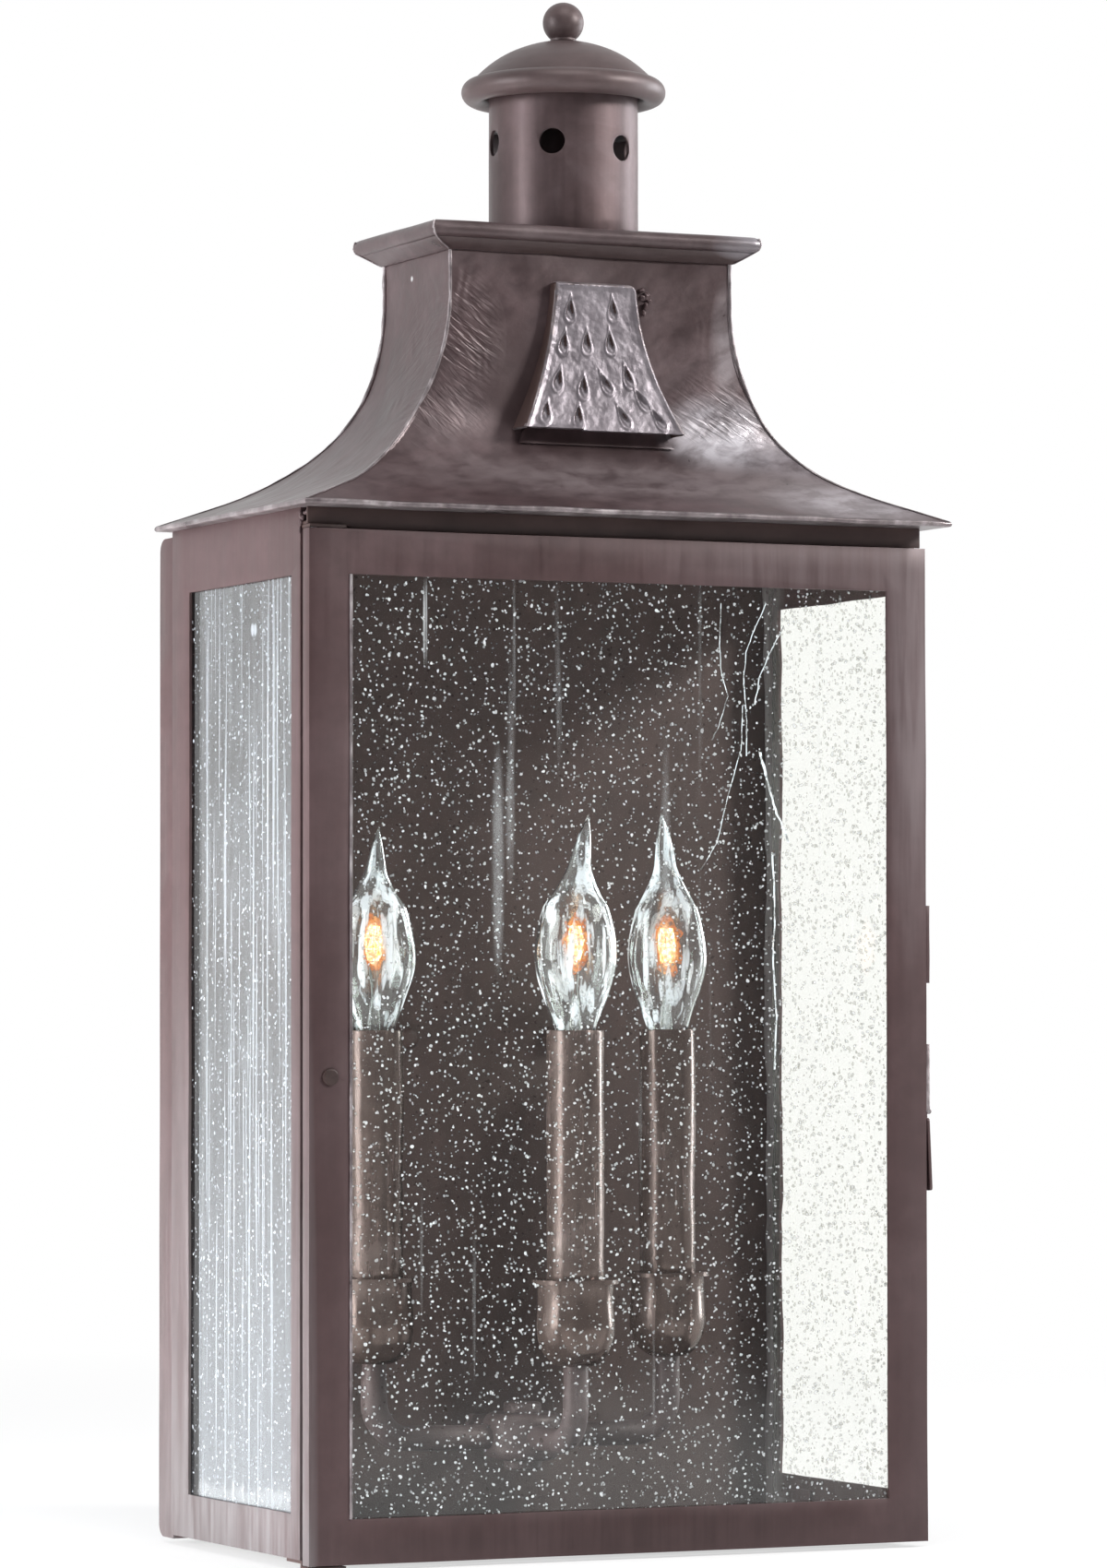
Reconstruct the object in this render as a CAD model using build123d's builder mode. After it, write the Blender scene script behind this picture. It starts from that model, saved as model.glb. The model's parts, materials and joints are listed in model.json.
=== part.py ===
from build123d import *

import os
from math import asin, cos, radians, sin, tan

# Outdoor wall lantern with a flared hood, a hinged glass door and three candle lamps.
# Millimetres, +Z up. The origin is the middle of the wall mount, on the wall plane y = 0.
# The lantern stands out from the wall towards -Y, and +X is to the right of someone facing it.

# Body and door
door_width = 254.0  # also the width of the body behind it
door_height = 376.0
lamp_depth = 150.0  # wall plane to the face of the door
door_depth = 6.0  # side return of the folded door frame
door_gap = 2.5  # behind the door, before the body starts
door_rail = 16.5  # visible width of the door frame round its window
mount_height = 190.0  # middle of the wall mount above the bottom of the door
body_lift = 1.6  # the body starts this much above the bottom of the door
header_height = 8.0  # from the top of the door up to the eave
header_setback = 3.0  # header band behind the door's face
header_inset = 0.5  # header ends inside the side faces
header_lip = 10.0  # how far the header hangs down behind the door
sheet = 1.2
flange = 8.0  # inner returns of the side frames
side_stile_front = 8.5
side_stile_rear = 17.5
side_rail = 16.4
side_corner_radius = 3.0  # rear lower corner of the side frames
rear_step = 0.1  # free edge of a sheet before the next one
floor_hole_columns = 4
floor_hole_rows = 2

# Pan on the wall
pan_depth = 15.0
pan_above_door = 6.0  # top of the pan above the top of the door
pan_inset = 1.0  # each side, inside the body's width
pan_round = 5.0  # wall corners, seen from the side

# Glass and the clips that hold it
glass = 3.0
door_glass_margin = 8.0  # edge of the door glass inside the door's outline
side_glass_lap = 3.5  # glass past the side window, front and rear
side_glass_rise = 9.0  # glass past the side window, above and below
clip_sheet = 0.6
clip_width = 8.0
clip_lap = 4.0
clip_foot = 3.5
clip_gap = 0.1
side_clip_share = 0.25  # of the window's depth, from its middle to the clips
door_clip_share = 0.25  # of the door's width, the same for the clips along its rails
door_stile_clip_share = 0.3  # of the door's height, for those along its stiles

# Hood
eave_side = 6.1  # overhang at each side
eave_front = 10.6  # overhang in front of the door's face
eave_rear = 3.4  # overhang behind the body
eave_thickness = 2.0
eave_lip = 0.9  # rounded edge outside the foot of the hood
eave_ring = 22.0  # width of the flat ring that carries the hood
hood_rise = 107.4  # top of the eave to the top of the neck
neck_width = 116.8
neck_depth = 61.6
neck_back = 58.8  # middle of the neck behind the door's face
side_sweep_radius = 80.0
side_sweep_angle = 70.0
front_sweep_radius = 32.0
front_sweep_angle = 58.0

# Tray, chimney and cap
tray_overhang_side = 9.9
tray_overhang_front = 6.8
tray_edge_height = 6.2
tray_edge_round = 3.0
tray_cove_height = 4.2  # the cove that carries the edge down to the neck
tray_cove_start = 2.4  # inside the edge
tray_lip = 0.8  # foot of the cove, outside the neck
tray_hole_radius = 25.0
chimney_shift = 2.8  # the chimney stands this much to the right of the middle, as in the photo
chimney_radius = 28.5
chimney_height = 54.5
chimney_hole_radius = 4.9
chimney_hole_first = 26.0  # degrees round from the front
chimney_hole_rises = (32.4, 35.4, 33.9)  # drilled by hand, so each pair has its own height
cap_radius = 39.0
cap_bead_radius = 4.75
cap_rise = 15.0  # crease above the bead to the crown
cap_lift = 1.6  # middle of the bead above the chimney's end
ball_radius = 7.85
ball_seat = 0.8  # how deep the ball is cut flat where it stands on the cap
ball_collar_radius = 5.0
ball_collar_height = 0.9
stud_radius = 2.0
spider_width = 12.0
spider_leg = 9.0
spider_drop = 6.0  # spider below the chimney's end
boss_radius = 5.0

# Vent cowl on the front of the hood
cowl_top_width = 34.0
cowl_bottom_width = 67.0
cowl_waist = 3.4  # how far the sides curve in
cowl_height = 56.5
cowl_top_rise = 88.0  # its top above the eave
cowl_stand_top = 4.0  # in front of the neck, at the top
cowl_stand_bottom = 12.0
cowl_hollow = 2.4  # how far its face curves in
cowl_sheet = 1.2
cowl_slot_width = 28.0
cowl_slot_height = 22.0
backing_sheet = 1.0
backing_drop = 5.0  # backing plate below the cowl
backing_clearance = 0.3

# Candle cluster
hub_radius = 15.0
hub_height = 18.0
hub_round = 3.6
hub_rise = 38.0  # arm centres above the bottom of the door
hub_back = 92.0  # behind the door's face
hub_seat = 3.0  # how deep the tubes enter the hub
arm_radius = 4.8
arm_wall = 1.0
arm_bend = 14.0
side_reach = 62.0
front_reach = 48.0
cup_rise = 67.0  # bottom of the cups above the bottom of the door
cup_height = 32.6
cup_seat = 4.0
cup_bulge_radius = 14.6
cup_disc_radius = 16.4
cup_disc = 1.6
cup_foot_radius = 6.4
sleeve_radius = 10.9
sleeve_wall = 1.0
sleeve_height = 93.7
socket_radius = 8.7
socket_length = 40.0
socket_top = 5.3  # below the top of the sleeve
socket_stem_radius = 5.0
socket_bore_clearance = 0.3
socket_bore = 22.0
bulb_base_radius = 6.0
bulb_base_length = 23.7
bulb_seat_gap = 0.3
bulb_radius = 15.6
bulb_height = 88.0
bulb_wall = 0.8
bulb_belly_share = 0.36  # of its height, where the glass is widest
bulb_taper_share = 0.74  # of its height, where it is this share of its widest
bulb_taper_width = 0.52
wire_radius = 0.35
wire_spread = 2.2
wire_rise = 40.0
press_radius = 2.4
press_height = 16.0
nut_radius = 7.0
nut_height = 4.0

# Hinge, latch and fasteners
hinge_inset = 3.0  # hinge axis from the door's left side and from its face
pin_radius = 1.2
pin_head_radius = 1.6
pin_head = 1.0
pin_clearance = 0.06
bracket_gap = 0.4  # above and below the door
bracket_width = 14.5
bracket_reach = 13.5
joggle = 0.6  # set of the lower bracket and of the keeper in front of the body
rivet_radius = 1.2
rivet_head_radius = 1.9
rivet_head = 1.0
rivet_tail = 0.6
rivet_tail_radius = 1.7
rivet_dome_radius = 2.7
stile_rivet_round = 0.8
keeper_rise = 211.0  # bottom of the keeper above the bottom of the door
keeper_height = 29.4
keeper_sheet = 1.6
keeper_clearance = 0.4  # between its spring end and the door
keeper_front = 1.0  # spring end behind the door's face
keeper_back = 15.5
latch_rise = 162.3
latch_height = 25.5
latch_sheet = 1.6
latch_width = 5.2
latch_setback = 0.5
knuckle_radius = 1.0
latch_pin_radius = 0.5
latch_pin_clearance = 0.05
knuckle_gap = 0.3
tab_length = 30.0
tab_width = 13.0
tab_sheet = 1.2
tab_tilt = 2.5  # degrees that the finger tab stands out from the door
stile_rivet_rise = 176.5
stile_rivet_inset = 8.4
stile_rivet_radius = 3.2

# Wall crossbar
bar_length = 108.0
bar_width = 22.0
bar_sheet = 2.0
box_screw_spacing = 88.9
box_screw_radius = 2.4
bar_hole_radius = 5.5
stud_spacing = 64.0
bar_stud_radius = 2.0
bar_stud_length = 22.0
cap_nut_radius = 5.0
cap_nut_height = 8.0
cap_nut_wall = 2.0
cap_nut_shoulder = 0.3  # dome inside the nut's flats
floor_hole_radius = 4.0
floor_lip = 10.0

# Planes and edges that follow from the sizes
half_width = door_width / 2
front_y = -lamp_depth
door_back_y = front_y + door_depth
body_front_y = door_back_y + door_gap
body_back_y = -pan_depth
foot_z = -mount_height
door_top_z = foot_z + door_height
door_mid_z = foot_z + door_height / 2
body_foot_z = foot_z + body_lift
body_top_z = door_top_z + header_height
body_mid_z = (body_foot_z + body_top_z) / 2
floor_z = body_foot_z + sheet  # the floor sheet rests on the side frames' flanges
back_sheet_y = body_back_y - 2 * sheet  # front face of the back panel
eave_z = body_top_z + eave_thickness
neck_z = eave_z + hood_rise
neck_y = front_y + neck_back
pan_height = door_height + pan_above_door
tray_z = neck_z + sheet
chimney_z = tray_z + chimney_height
spider_z = chimney_z - spider_drop
bead_z = chimney_z + cap_lift
bead_x = cap_radius - cap_bead_radius
crease_z = bead_z + cap_bead_radius
crown_z = crease_z + cap_rise
crown_radius = (bead_x**2 + cap_rise**2) / (2 * cap_rise)
boss_top_z = crown_z - sheet - boss_radius**2 / (2 * crown_radius) - rear_step
hub_y = front_y + hub_back
hub_z = foot_z + hub_rise
cup_z = foot_z + cup_rise
cup_top_z = cup_z + cup_height
sleeve_z = cup_top_z + sleeve_height
socket_z = sleeve_z - socket_top
socket_floor_z = socket_z - socket_bore
base_z = socket_floor_z + bulb_seat_gap
bulb_z = base_z + bulb_base_length
hinge_x = -half_width + hinge_inset
hinge_y = front_y + hinge_inset
latch_z = foot_z + latch_rise
knuckle_width = (latch_width - 2 * knuckle_gap) / 3
latch_x = half_width + knuckle_radius + knuckle_gap
chimney_plane = Plane(origin=(chimney_shift, neck_y, 0), x_dir=(1, 0, 0), z_dir=(0, -1, 0))
chimney_axis = Axis((chimney_shift, neck_y, 0), (0, 0, 1))
lamp_places = {
    "left": (-side_reach, hub_y),
    "front": (0.0, hub_y - front_reach),
    "right": (side_reach, hub_y),
}

os.makedirs("parts", exist_ok=True)


def keep(piece, name):
    piece.part.label = name
    export_step(piece.part, f"parts/{name}.step")


def side_window():
    """Middle and size of the side window, in the side frame's own plane."""
    low_y = body_front_y + side_stile_front
    high_y = body_back_y - side_stile_rear
    low_z = body_foot_z + side_rail
    high_z = door_top_z - side_rail
    middle = ((low_y + high_y) / 2, (low_z + high_z) / 2)
    return middle, high_y - low_y, high_z - low_z


def sweep_start(run, radius, angle):
    """Height above the eave at which a hood sheet leaves the vertical."""
    arc_run = radius * (1 - cos(radians(angle)))
    arc_drop = radius * sin(radians(angle))
    return arc_drop + (run - arc_run) / tan(radians(angle))


def hood_half(top, foot, radius, angle, inset):
    """Edges of one half of the hood's section: neck, sweep, slope to the eave, and back."""
    start = eave_z + sweep_start(foot - top, radius, angle)
    with BuildLine() as half:
        neck_line = Line((top - inset, neck_z), (top - inset, start))
        sweep_arc = JernArc(neck_line @ 1, (0, -1), radius + inset, angle)
        drop = (sweep_arc @ 1).Y - eave_z
        foot_x = (sweep_arc @ 1).X + drop * tan(radians(angle))
        Line(sweep_arc @ 1, (foot_x, eave_z))
        Line((foot_x, eave_z), (0, eave_z))
        Line((0, eave_z), (0, neck_z))
        Line((0, neck_z), neck_line @ 0)
    return half.edges()


def hood_side_half(inset):
    foot = half_width + eave_side - eave_lip
    return hood_half(neck_width / 2, foot, side_sweep_radius, side_sweep_angle, inset)


def hood_depth_half(foot, inset):
    return hood_half(neck_depth / 2, foot, front_sweep_radius, front_sweep_angle, inset)


# The hood's depth sections stand on these planes, looking along X, with y measured from the neck
front_half_plane = Plane(origin=(0, neck_y, 0), x_dir=(0, -1, 0), z_dir=(-1, 0, 0))
rear_half_plane = Plane(origin=(0, neck_y, 0), x_dir=(0, 1, 0), z_dir=(1, 0, 0))
hood_front_foot = neck_back + eave_front - eave_lip
hood_rear_foot = lamp_depth - pan_depth + eave_rear - eave_lip - neck_back


def hood_core(width_inset, depth_inset):
    """Solid inside the hood's sheets, inset from their outer faces."""
    reach = half_width + 2 * eave_side
    with BuildPart() as core:
        with BuildSketch(front_half_plane):
            make_face(hood_depth_half(hood_front_foot, depth_inset))
        extrude(amount=reach, both=True)
        with BuildSketch(rear_half_plane):
            make_face(hood_depth_half(hood_rear_foot, depth_inset))
        extrude(amount=reach, both=True)
        with BuildSketch(Plane.XZ):
            make_face(hood_side_half(width_inset))
            mirror(about=Plane.YZ)
        extrude(amount=2 * lamp_depth, both=True, mode=Mode.INTERSECT)
    return core.part


def make_wall_pan():
    """Shallow pan, open to the wall, with its wall corners rounded."""
    with BuildPart() as wall_pan:
        for inset, mode in ((0.0, Mode.ADD), (sheet, Mode.SUBTRACT)):
            with BuildSketch(Plane.YZ) as profile:
                with Locations((0, foot_z + pan_height / 2)):
                    Rectangle(
                        pan_depth - inset,
                        pan_height - 2 * inset,
                        align=(Align.MAX, Align.CENTER),
                    )
                fillet(profile.vertices().group_by(Axis.X)[-1], pan_round - inset)
            extrude(amount=half_width - pan_inset - inset, both=True, mode=mode)
        with BuildSketch(Plane.XZ.offset(pan_depth)):
            Circle(bar_hole_radius)
            with GridLocations(stud_spacing, 1, 2, 1):
                Circle(bar_stud_radius)
            with Locations((0, hub_z)):
                Circle(arm_radius)
        extrude(amount=-sheet, mode=Mode.SUBTRACT)
    keep(wall_pan, "wall_pan")


def make_back_panel():
    width = door_width - 2 * sheet - 2 * rear_step
    top_z = body_top_z - sheet - rear_step
    with BuildPart() as back_panel:
        with BuildSketch(Plane.XZ.offset(-back_sheet_y)):
            with Locations((0, (floor_z + top_z) / 2)):
                Rectangle(width, top_z - floor_z)
            with GridLocations(stud_spacing, 1, 2, 1):
                Circle(bar_stud_radius, mode=Mode.SUBTRACT)
            with Locations((0, hub_z)):
                Circle(arm_radius, mode=Mode.SUBTRACT)
        extrude(amount=-sheet)
    keep(back_panel, "back_panel")


def make_side_frame(side, name):
    middle, window_depth, window_height = side_window()
    with BuildPart() as side_frame:
        with BuildSketch(Plane.YZ.offset(side * half_width)):
            with Locations(((body_front_y + body_back_y) / 2, body_mid_z)):
                Rectangle(body_back_y - body_front_y, body_top_z - body_foot_z)
        extrude(amount=-side * flange)
        inner_face = side_frame.faces().sort_by(Axis.X)[-1 if side < 0 else 0]
        offset(amount=-sheet, openings=inner_face)
        low_edges = side_frame.edges().filter_by(Axis.X).group_by(Axis.Z)[0]
        fillet(low_edges.sort_by(Axis.Y)[-1], side_corner_radius)
        with BuildSketch(Plane.YZ.offset(side * half_width)):
            with Locations(middle):
                Rectangle(window_depth, window_height)
            if side > 0:
                with Locations(*keeper_rivet_places()):
                    Circle(rivet_radius)
        extrude(amount=-side * sheet, mode=Mode.SUBTRACT)
    keep(side_frame, name)


def make_side_glass(side, name):
    middle, window_depth, window_height = side_window()
    with BuildPart() as side_glass:
        with BuildSketch(Plane.YZ.offset(side * (half_width - sheet))):
            with Locations(middle):
                Rectangle(window_depth + 2 * side_glass_lap, window_height + 2 * side_glass_rise)
        extrude(amount=-side * glass)
    keep(side_glass, name)


def clip_section():
    """Edges of a folded clip: a foot on the frame, a riser past the glass, a lap over it.

    Local x runs from the glass edge outwards, local y away from the frame."""
    rise = glass + clip_gap
    with BuildLine() as section:
        Polyline(
            (clip_gap, 0),
            (clip_foot, 0),
            (clip_foot, clip_sheet),
            (clip_gap + clip_sheet, clip_sheet),
            (clip_gap + clip_sheet, rise + clip_sheet),
            (-clip_lap, rise + clip_sheet),
            (-clip_lap, rise),
            (clip_gap, rise),
            close=True,
        )
    return section.edges()


def make_side_glass_clips():
    middle, window_depth, window_height = side_window()
    half_rise = window_height / 2 + side_glass_rise
    with BuildPart() as clips:
        for side in (-1, 1):
            frame_x = side * (half_width - sheet)
            for edge in (-1, 1):
                for share in (-side_clip_share, side_clip_share):
                    place = Plane(
                        origin=(frame_x, middle[0] + share * window_depth, middle[1] + edge * half_rise),
                        x_dir=(0, 0, edge),
                        z_dir=(0, -side * edge, 0),
                    )
                    with BuildSketch(place):
                        make_face(clip_section())
                    extrude(amount=clip_width / 2, both=True)
    keep(clips, "side_glass_clips")


def make_floor_sheet():
    front = body_front_y + sheet + rear_step
    back = back_sheet_y - rear_step
    width = door_width - 2 * sheet - 2 * rear_step
    with BuildPart() as floor_sheet:
        with BuildSketch(Plane.YZ):
            with BuildLine():
                Polyline(
                    (front, floor_z + floor_lip),
                    (front, floor_z),
                    (back, floor_z),
                    (back, floor_z + sheet),
                    (front + sheet, floor_z + sheet),
                    (front + sheet, floor_z + floor_lip),
                    close=True,
                )
            make_face()
        extrude(amount=width / 2, both=True)
        with BuildSketch(Plane.XY.offset(floor_z)):
            with Locations((0, (front + back) / 2)):
                pitch_x = door_width / floor_hole_columns
                pitch_y = lamp_depth / (floor_hole_rows + 1)
                with GridLocations(pitch_x, pitch_y, floor_hole_columns, floor_hole_rows):
                    Circle(floor_hole_radius)
        extrude(amount=sheet, mode=Mode.SUBTRACT)
    keep(floor_sheet, "floor_sheet")


def make_front_header():
    front = front_y + header_setback
    ledge_z = door_top_z + bracket_gap + sheet
    with BuildPart() as front_header:
        with BuildSketch(Plane.YZ):
            with BuildLine():
                Polyline(
                    (front, body_top_z),
                    (front, ledge_z),
                    (body_front_y, ledge_z),
                    (body_front_y, ledge_z + sheet),
                    (front + sheet, ledge_z + sheet),
                    (front + sheet, body_top_z),
                    close=True,
                )
            make_face()
        extrude(amount=half_width - header_inset, both=True)
        with BuildSketch(Plane.YZ):
            with Locations((body_front_y + sheet / 2, ledge_z + sheet)):
                Rectangle(sheet, header_lip + sheet, align=(Align.CENTER, Align.MAX))
        extrude(amount=half_width - flange - rear_step, both=True)
    keep(front_header, "front_header")


def make_eave_ring():
    front = front_y - eave_front
    back = body_back_y + eave_rear
    width = door_width + 2 * eave_side
    with BuildPart() as eave_ring_plate:
        with BuildSketch(Plane.XY.offset(body_top_z)):
            with Locations((0, (front + back) / 2)):
                Rectangle(width, back - front)
        extrude(amount=eave_thickness)
        rim = eave_ring_plate.edges().filter_by(Axis.Z, reverse=True)
        fillet(rim, eave_lip)
        with BuildSketch(Plane.XY.offset(body_top_z)):
            with Locations((0, (body_front_y + back_sheet_y) / 2)):
                opening_depth = back_sheet_y - body_front_y - eave_ring
                Rectangle(door_width - 2 * eave_ring, opening_depth)
        extrude(amount=eave_thickness, mode=Mode.SUBTRACT)
    keep(eave_ring_plate, "eave_ring")


def make_hood_side(side, name):
    """Side sheet of the hood, cut to the hips by the front and rear sheets' outer faces."""
    with BuildPart() as hood_side:
        add(hood_core(0, 0))
        add(hood_core(sheet, 0), mode=Mode.SUBTRACT)
        with BuildSketch(Plane.YZ):
            with Locations((neck_y, (eave_z + neck_z) / 2)):
                Rectangle(2 * lamp_depth, 2 * hood_rise)
        extrude(amount=-side * door_width, mode=Mode.SUBTRACT)
    keep(hood_side, name)


def make_hood_face(facing, name):
    """Front or rear sheet of the hood, between the side sheets."""
    with BuildPart() as hood_face:
        add(hood_core(sheet, 0))
        add(hood_core(sheet, sheet), mode=Mode.SUBTRACT)
        with BuildSketch(Plane.XZ.offset(-neck_y)):
            with Locations((0, (eave_z + neck_z) / 2)):
                Rectangle(2 * door_width, 2 * hood_rise)
        extrude(amount=-facing * lamp_depth, mode=Mode.SUBTRACT)
        if facing > 0:
            with BuildSketch(Plane.XZ.offset(-neck_y)):
                with Locations((0, eave_z + cowl_top_rise - cowl_height / 2)):
                    Rectangle(cowl_slot_width, cowl_slot_height)
            extrude(amount=lamp_depth, mode=Mode.SUBTRACT)
    keep(hood_face, name)


def cowl_half(margin, drop=0.0):
    """Edges of the right half of the vent cowl's outline, its side curving in."""
    top = eave_z + cowl_top_rise - margin
    bottom = eave_z + cowl_top_rise - cowl_height - drop
    half_top = cowl_top_width / 2 - margin
    half_bottom = cowl_bottom_width / 2 - margin
    waist = (half_top + half_bottom) / 2 - cowl_waist
    with BuildLine() as half:
        side_arc = ThreePointArc((half_top, top), (waist, (top + bottom) / 2), (half_bottom, bottom))
        Line(side_arc @ 1, (0, bottom))
        Line((0, bottom), (0, top))
        Line((0, top), side_arc @ 0)
    return half.edges()


def cowl_body(margin, setback, drop=0.0):
    """Solid under the cowl's face, forward of the neck, set back from the face by a sheet."""
    top = eave_z + cowl_top_rise
    bottom = top - cowl_height - drop
    neck_front = neck_depth / 2
    top_out = neck_front + cowl_stand_top - setback
    bottom_out = neck_front + cowl_stand_bottom - setback
    middle_out = (top_out + bottom_out) / 2 - cowl_hollow
    with BuildPart() as body:
        with BuildSketch(Plane.XZ.offset(-neck_y)):
            make_face(cowl_half(margin, drop))
            mirror(about=Plane.YZ)
        extrude(amount=neck_front + 2 * cowl_stand_bottom)
        with BuildSketch(front_half_plane):
            with BuildLine():
                face_arc = ThreePointArc(
                    (top_out, top), (middle_out, (top + bottom) / 2), (bottom_out, bottom)
                )
                Line(face_arc @ 1, (0, bottom))
                Line((0, bottom), (0, top))
                Line((0, top), face_arc @ 0)
            make_face()
        extrude(amount=cowl_bottom_width, both=True, mode=Mode.INTERSECT)
    return body.part


def make_vent_cowl():
    with BuildPart() as vent_cowl:
        add(cowl_body(0, 0))
        add(cowl_body(cowl_sheet, cowl_sheet), mode=Mode.SUBTRACT)
        with BuildSketch(front_half_plane):
            make_face(hood_depth_half(hood_front_foot, 0))
        extrude(amount=door_width, both=True, mode=Mode.SUBTRACT)
    keep(vent_cowl, "vent_cowl")


def make_vent_backing():
    """Plate on the hood behind the cowl, with a slot, showing as a lip below the cowl."""
    with BuildPart() as vent_backing:
        with BuildSketch(Plane.XZ.offset(-neck_y)):
            make_face(cowl_half(cowl_sheet + backing_clearance, backing_drop))
            mirror(about=Plane.YZ)
        extrude(amount=2 * neck_depth)
        with BuildSketch(front_half_plane):
            make_face(hood_depth_half(hood_front_foot, -backing_sheet))
        extrude(amount=door_width, both=True, mode=Mode.INTERSECT)
        with BuildSketch(front_half_plane):
            make_face(hood_depth_half(hood_front_foot, 0))
        extrude(amount=door_width, both=True, mode=Mode.SUBTRACT)
        with BuildSketch(Plane.XZ.offset(-neck_y)):
            with Locations((0, eave_z + cowl_top_rise - cowl_height / 2)):
                Rectangle(cowl_slot_width, cowl_slot_height)
        extrude(amount=2 * neck_depth, mode=Mode.SUBTRACT)
    keep(vent_backing, "vent_backing")


def make_top_tray():
    """Cap of the neck: a rounded edge on a cove, fitted over the neck's sheets."""
    width = neck_width + 2 * tray_overhang_side
    depth = neck_depth + 2 * tray_overhang_front
    cove_z = tray_z - tray_edge_height
    with BuildPart() as top_tray:
        with BuildSketch(Plane.XY.offset(tray_z)):
            with Locations((0, neck_y)):
                Rectangle(width, depth)
        extrude(amount=-tray_edge_height)
        rim = top_tray.edges().filter_by(Axis.Z, reverse=True)
        fillet(rim, tray_edge_round)
        with BuildSketch(Plane.XY.offset(cove_z)):
            with Locations((0, neck_y)):
                Rectangle(width - 2 * tray_cove_start, depth - 2 * tray_cove_start)
        with BuildSketch(Plane.XY.offset(cove_z - tray_cove_height)):
            with Locations((0, neck_y)):
                Rectangle(neck_width + 2 * tray_lip, neck_depth + 2 * tray_lip)
        loft()
        with BuildSketch(Plane.XY.offset(neck_z)):
            with Locations((0, neck_y)):
                Rectangle(neck_width + 2 * rear_step, neck_depth + 2 * rear_step)
        extrude(amount=-tray_edge_height - tray_cove_height, mode=Mode.SUBTRACT)
        with BuildSketch(Plane.XY.offset(tray_z)):
            with Locations((chimney_shift, neck_y)):
                Circle(tray_hole_radius)
        extrude(amount=-sheet, mode=Mode.SUBTRACT)
    keep(top_tray, "top_tray")


def make_chimney():
    with BuildPart() as chimney:
        with BuildSketch(Plane.XY.offset(tray_z)):
            with Locations((chimney_shift, neck_y)):
                Circle(chimney_radius)
                Circle(chimney_radius - sheet, mode=Mode.SUBTRACT)
        extrude(amount=chimney_height)
        for step, rise in enumerate(chimney_hole_rises):
            turn = radians(chimney_hole_first + 180 / len(chimney_hole_rises) * step)
            hole_plane = Plane(
                origin=(chimney_shift, neck_y, tray_z + rise),
                x_dir=(cos(turn), sin(turn), 0),
                z_dir=(sin(turn), -cos(turn), 0),
            )
            with BuildSketch(hole_plane):
                Circle(chimney_hole_radius)
            extrude(amount=2 * chimney_radius, both=True, mode=Mode.SUBTRACT)
    keep(chimney, "chimney_tube")


def make_cap():
    """Domed cap: a spherical crown with a rolled bead round its rim."""
    lean = asin(bead_x / crown_radius) / 2
    with BuildPart() as cap:
        with BuildSketch(chimney_plane):
            with BuildLine():
                outer = ThreePointArc(
                    (0, crown_z),
                    (crown_radius * sin(lean), crown_z - crown_radius * (1 - cos(lean))),
                    (bead_x, crease_z),
                )
                Line(outer @ 1, (bead_x, crease_z - sheet))
                inner = ThreePointArc(
                    (bead_x, crease_z - sheet),
                    (crown_radius * sin(lean), crown_z - crown_radius * (1 - cos(lean)) - sheet),
                    (0, crown_z - sheet),
                )
                Line(inner @ 1, outer @ 0)
            make_face()
            with Locations((bead_x, bead_z)):
                Circle(cap_bead_radius)
        revolve(axis=chimney_axis)
        with BuildSketch(Plane.XY.offset(crown_z)):
            with Locations((chimney_shift, neck_y)):
                Circle(stud_radius)
        extrude(amount=-2 * sheet, mode=Mode.SUBTRACT)
    keep(cap, "dome_cap")


def make_cap_spider():
    """Strap across the chimney with turned-down ends and a boss that carries the cap."""
    inner = chimney_radius - sheet
    with BuildPart() as spider:
        with BuildSketch(chimney_plane):
            with BuildLine():
                Polyline(
                    (-inner, spider_z),
                    (inner, spider_z),
                    (inner, spider_z - spider_leg),
                    (inner - 2 * sheet, spider_z - spider_leg),
                    (inner - 2 * sheet, spider_z - sheet),
                    (2 * sheet - inner, spider_z - sheet),
                    (2 * sheet - inner, spider_z - spider_leg),
                    (-inner, spider_z - spider_leg),
                    close=True,
                )
            make_face()
        extrude(amount=spider_width / 2, both=True)
        with BuildSketch(Plane.XY.offset(spider_z - spider_leg)):
            with Locations((chimney_shift, neck_y)):
                Circle(inner)
        extrude(amount=2 * spider_leg, mode=Mode.INTERSECT)
        with BuildSketch(Plane.XY.offset(spider_z)):
            with Locations((chimney_shift, neck_y)):
                Circle(boss_radius)
        extrude(amount=boss_top_z - spider_z)
        with BuildSketch(Plane.XY.offset(crown_z)):
            with Locations((chimney_shift, neck_y)):
                Circle(stud_radius)
        extrude(amount=spider_z - crown_z - sheet, mode=Mode.SUBTRACT)
    keep(spider, "cap_spider")


def make_finial():
    """Ball on a low collar, with the stud that clamps the cap to its strap."""
    with BuildPart() as finial:
        with Locations((chimney_shift, neck_y, crown_z + ball_radius - ball_seat)):
            Sphere(ball_radius)
        with BuildSketch(Plane.XY.offset(crown_z)):
            with Locations((chimney_shift, neck_y)):
                Circle(ball_radius)
        extrude(amount=-ball_radius, mode=Mode.SUBTRACT)
        with BuildSketch(Plane.XY.offset(crown_z)):
            with Locations((chimney_shift, neck_y)):
                Circle(ball_collar_radius)
        extrude(amount=ball_collar_height)
        with BuildSketch(Plane.XY.offset(crown_z)):
            with Locations((chimney_shift, neck_y)):
                Circle(stud_radius)
        extrude(amount=spider_z - sheet - crown_z)
    keep(finial, "finial")


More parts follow.
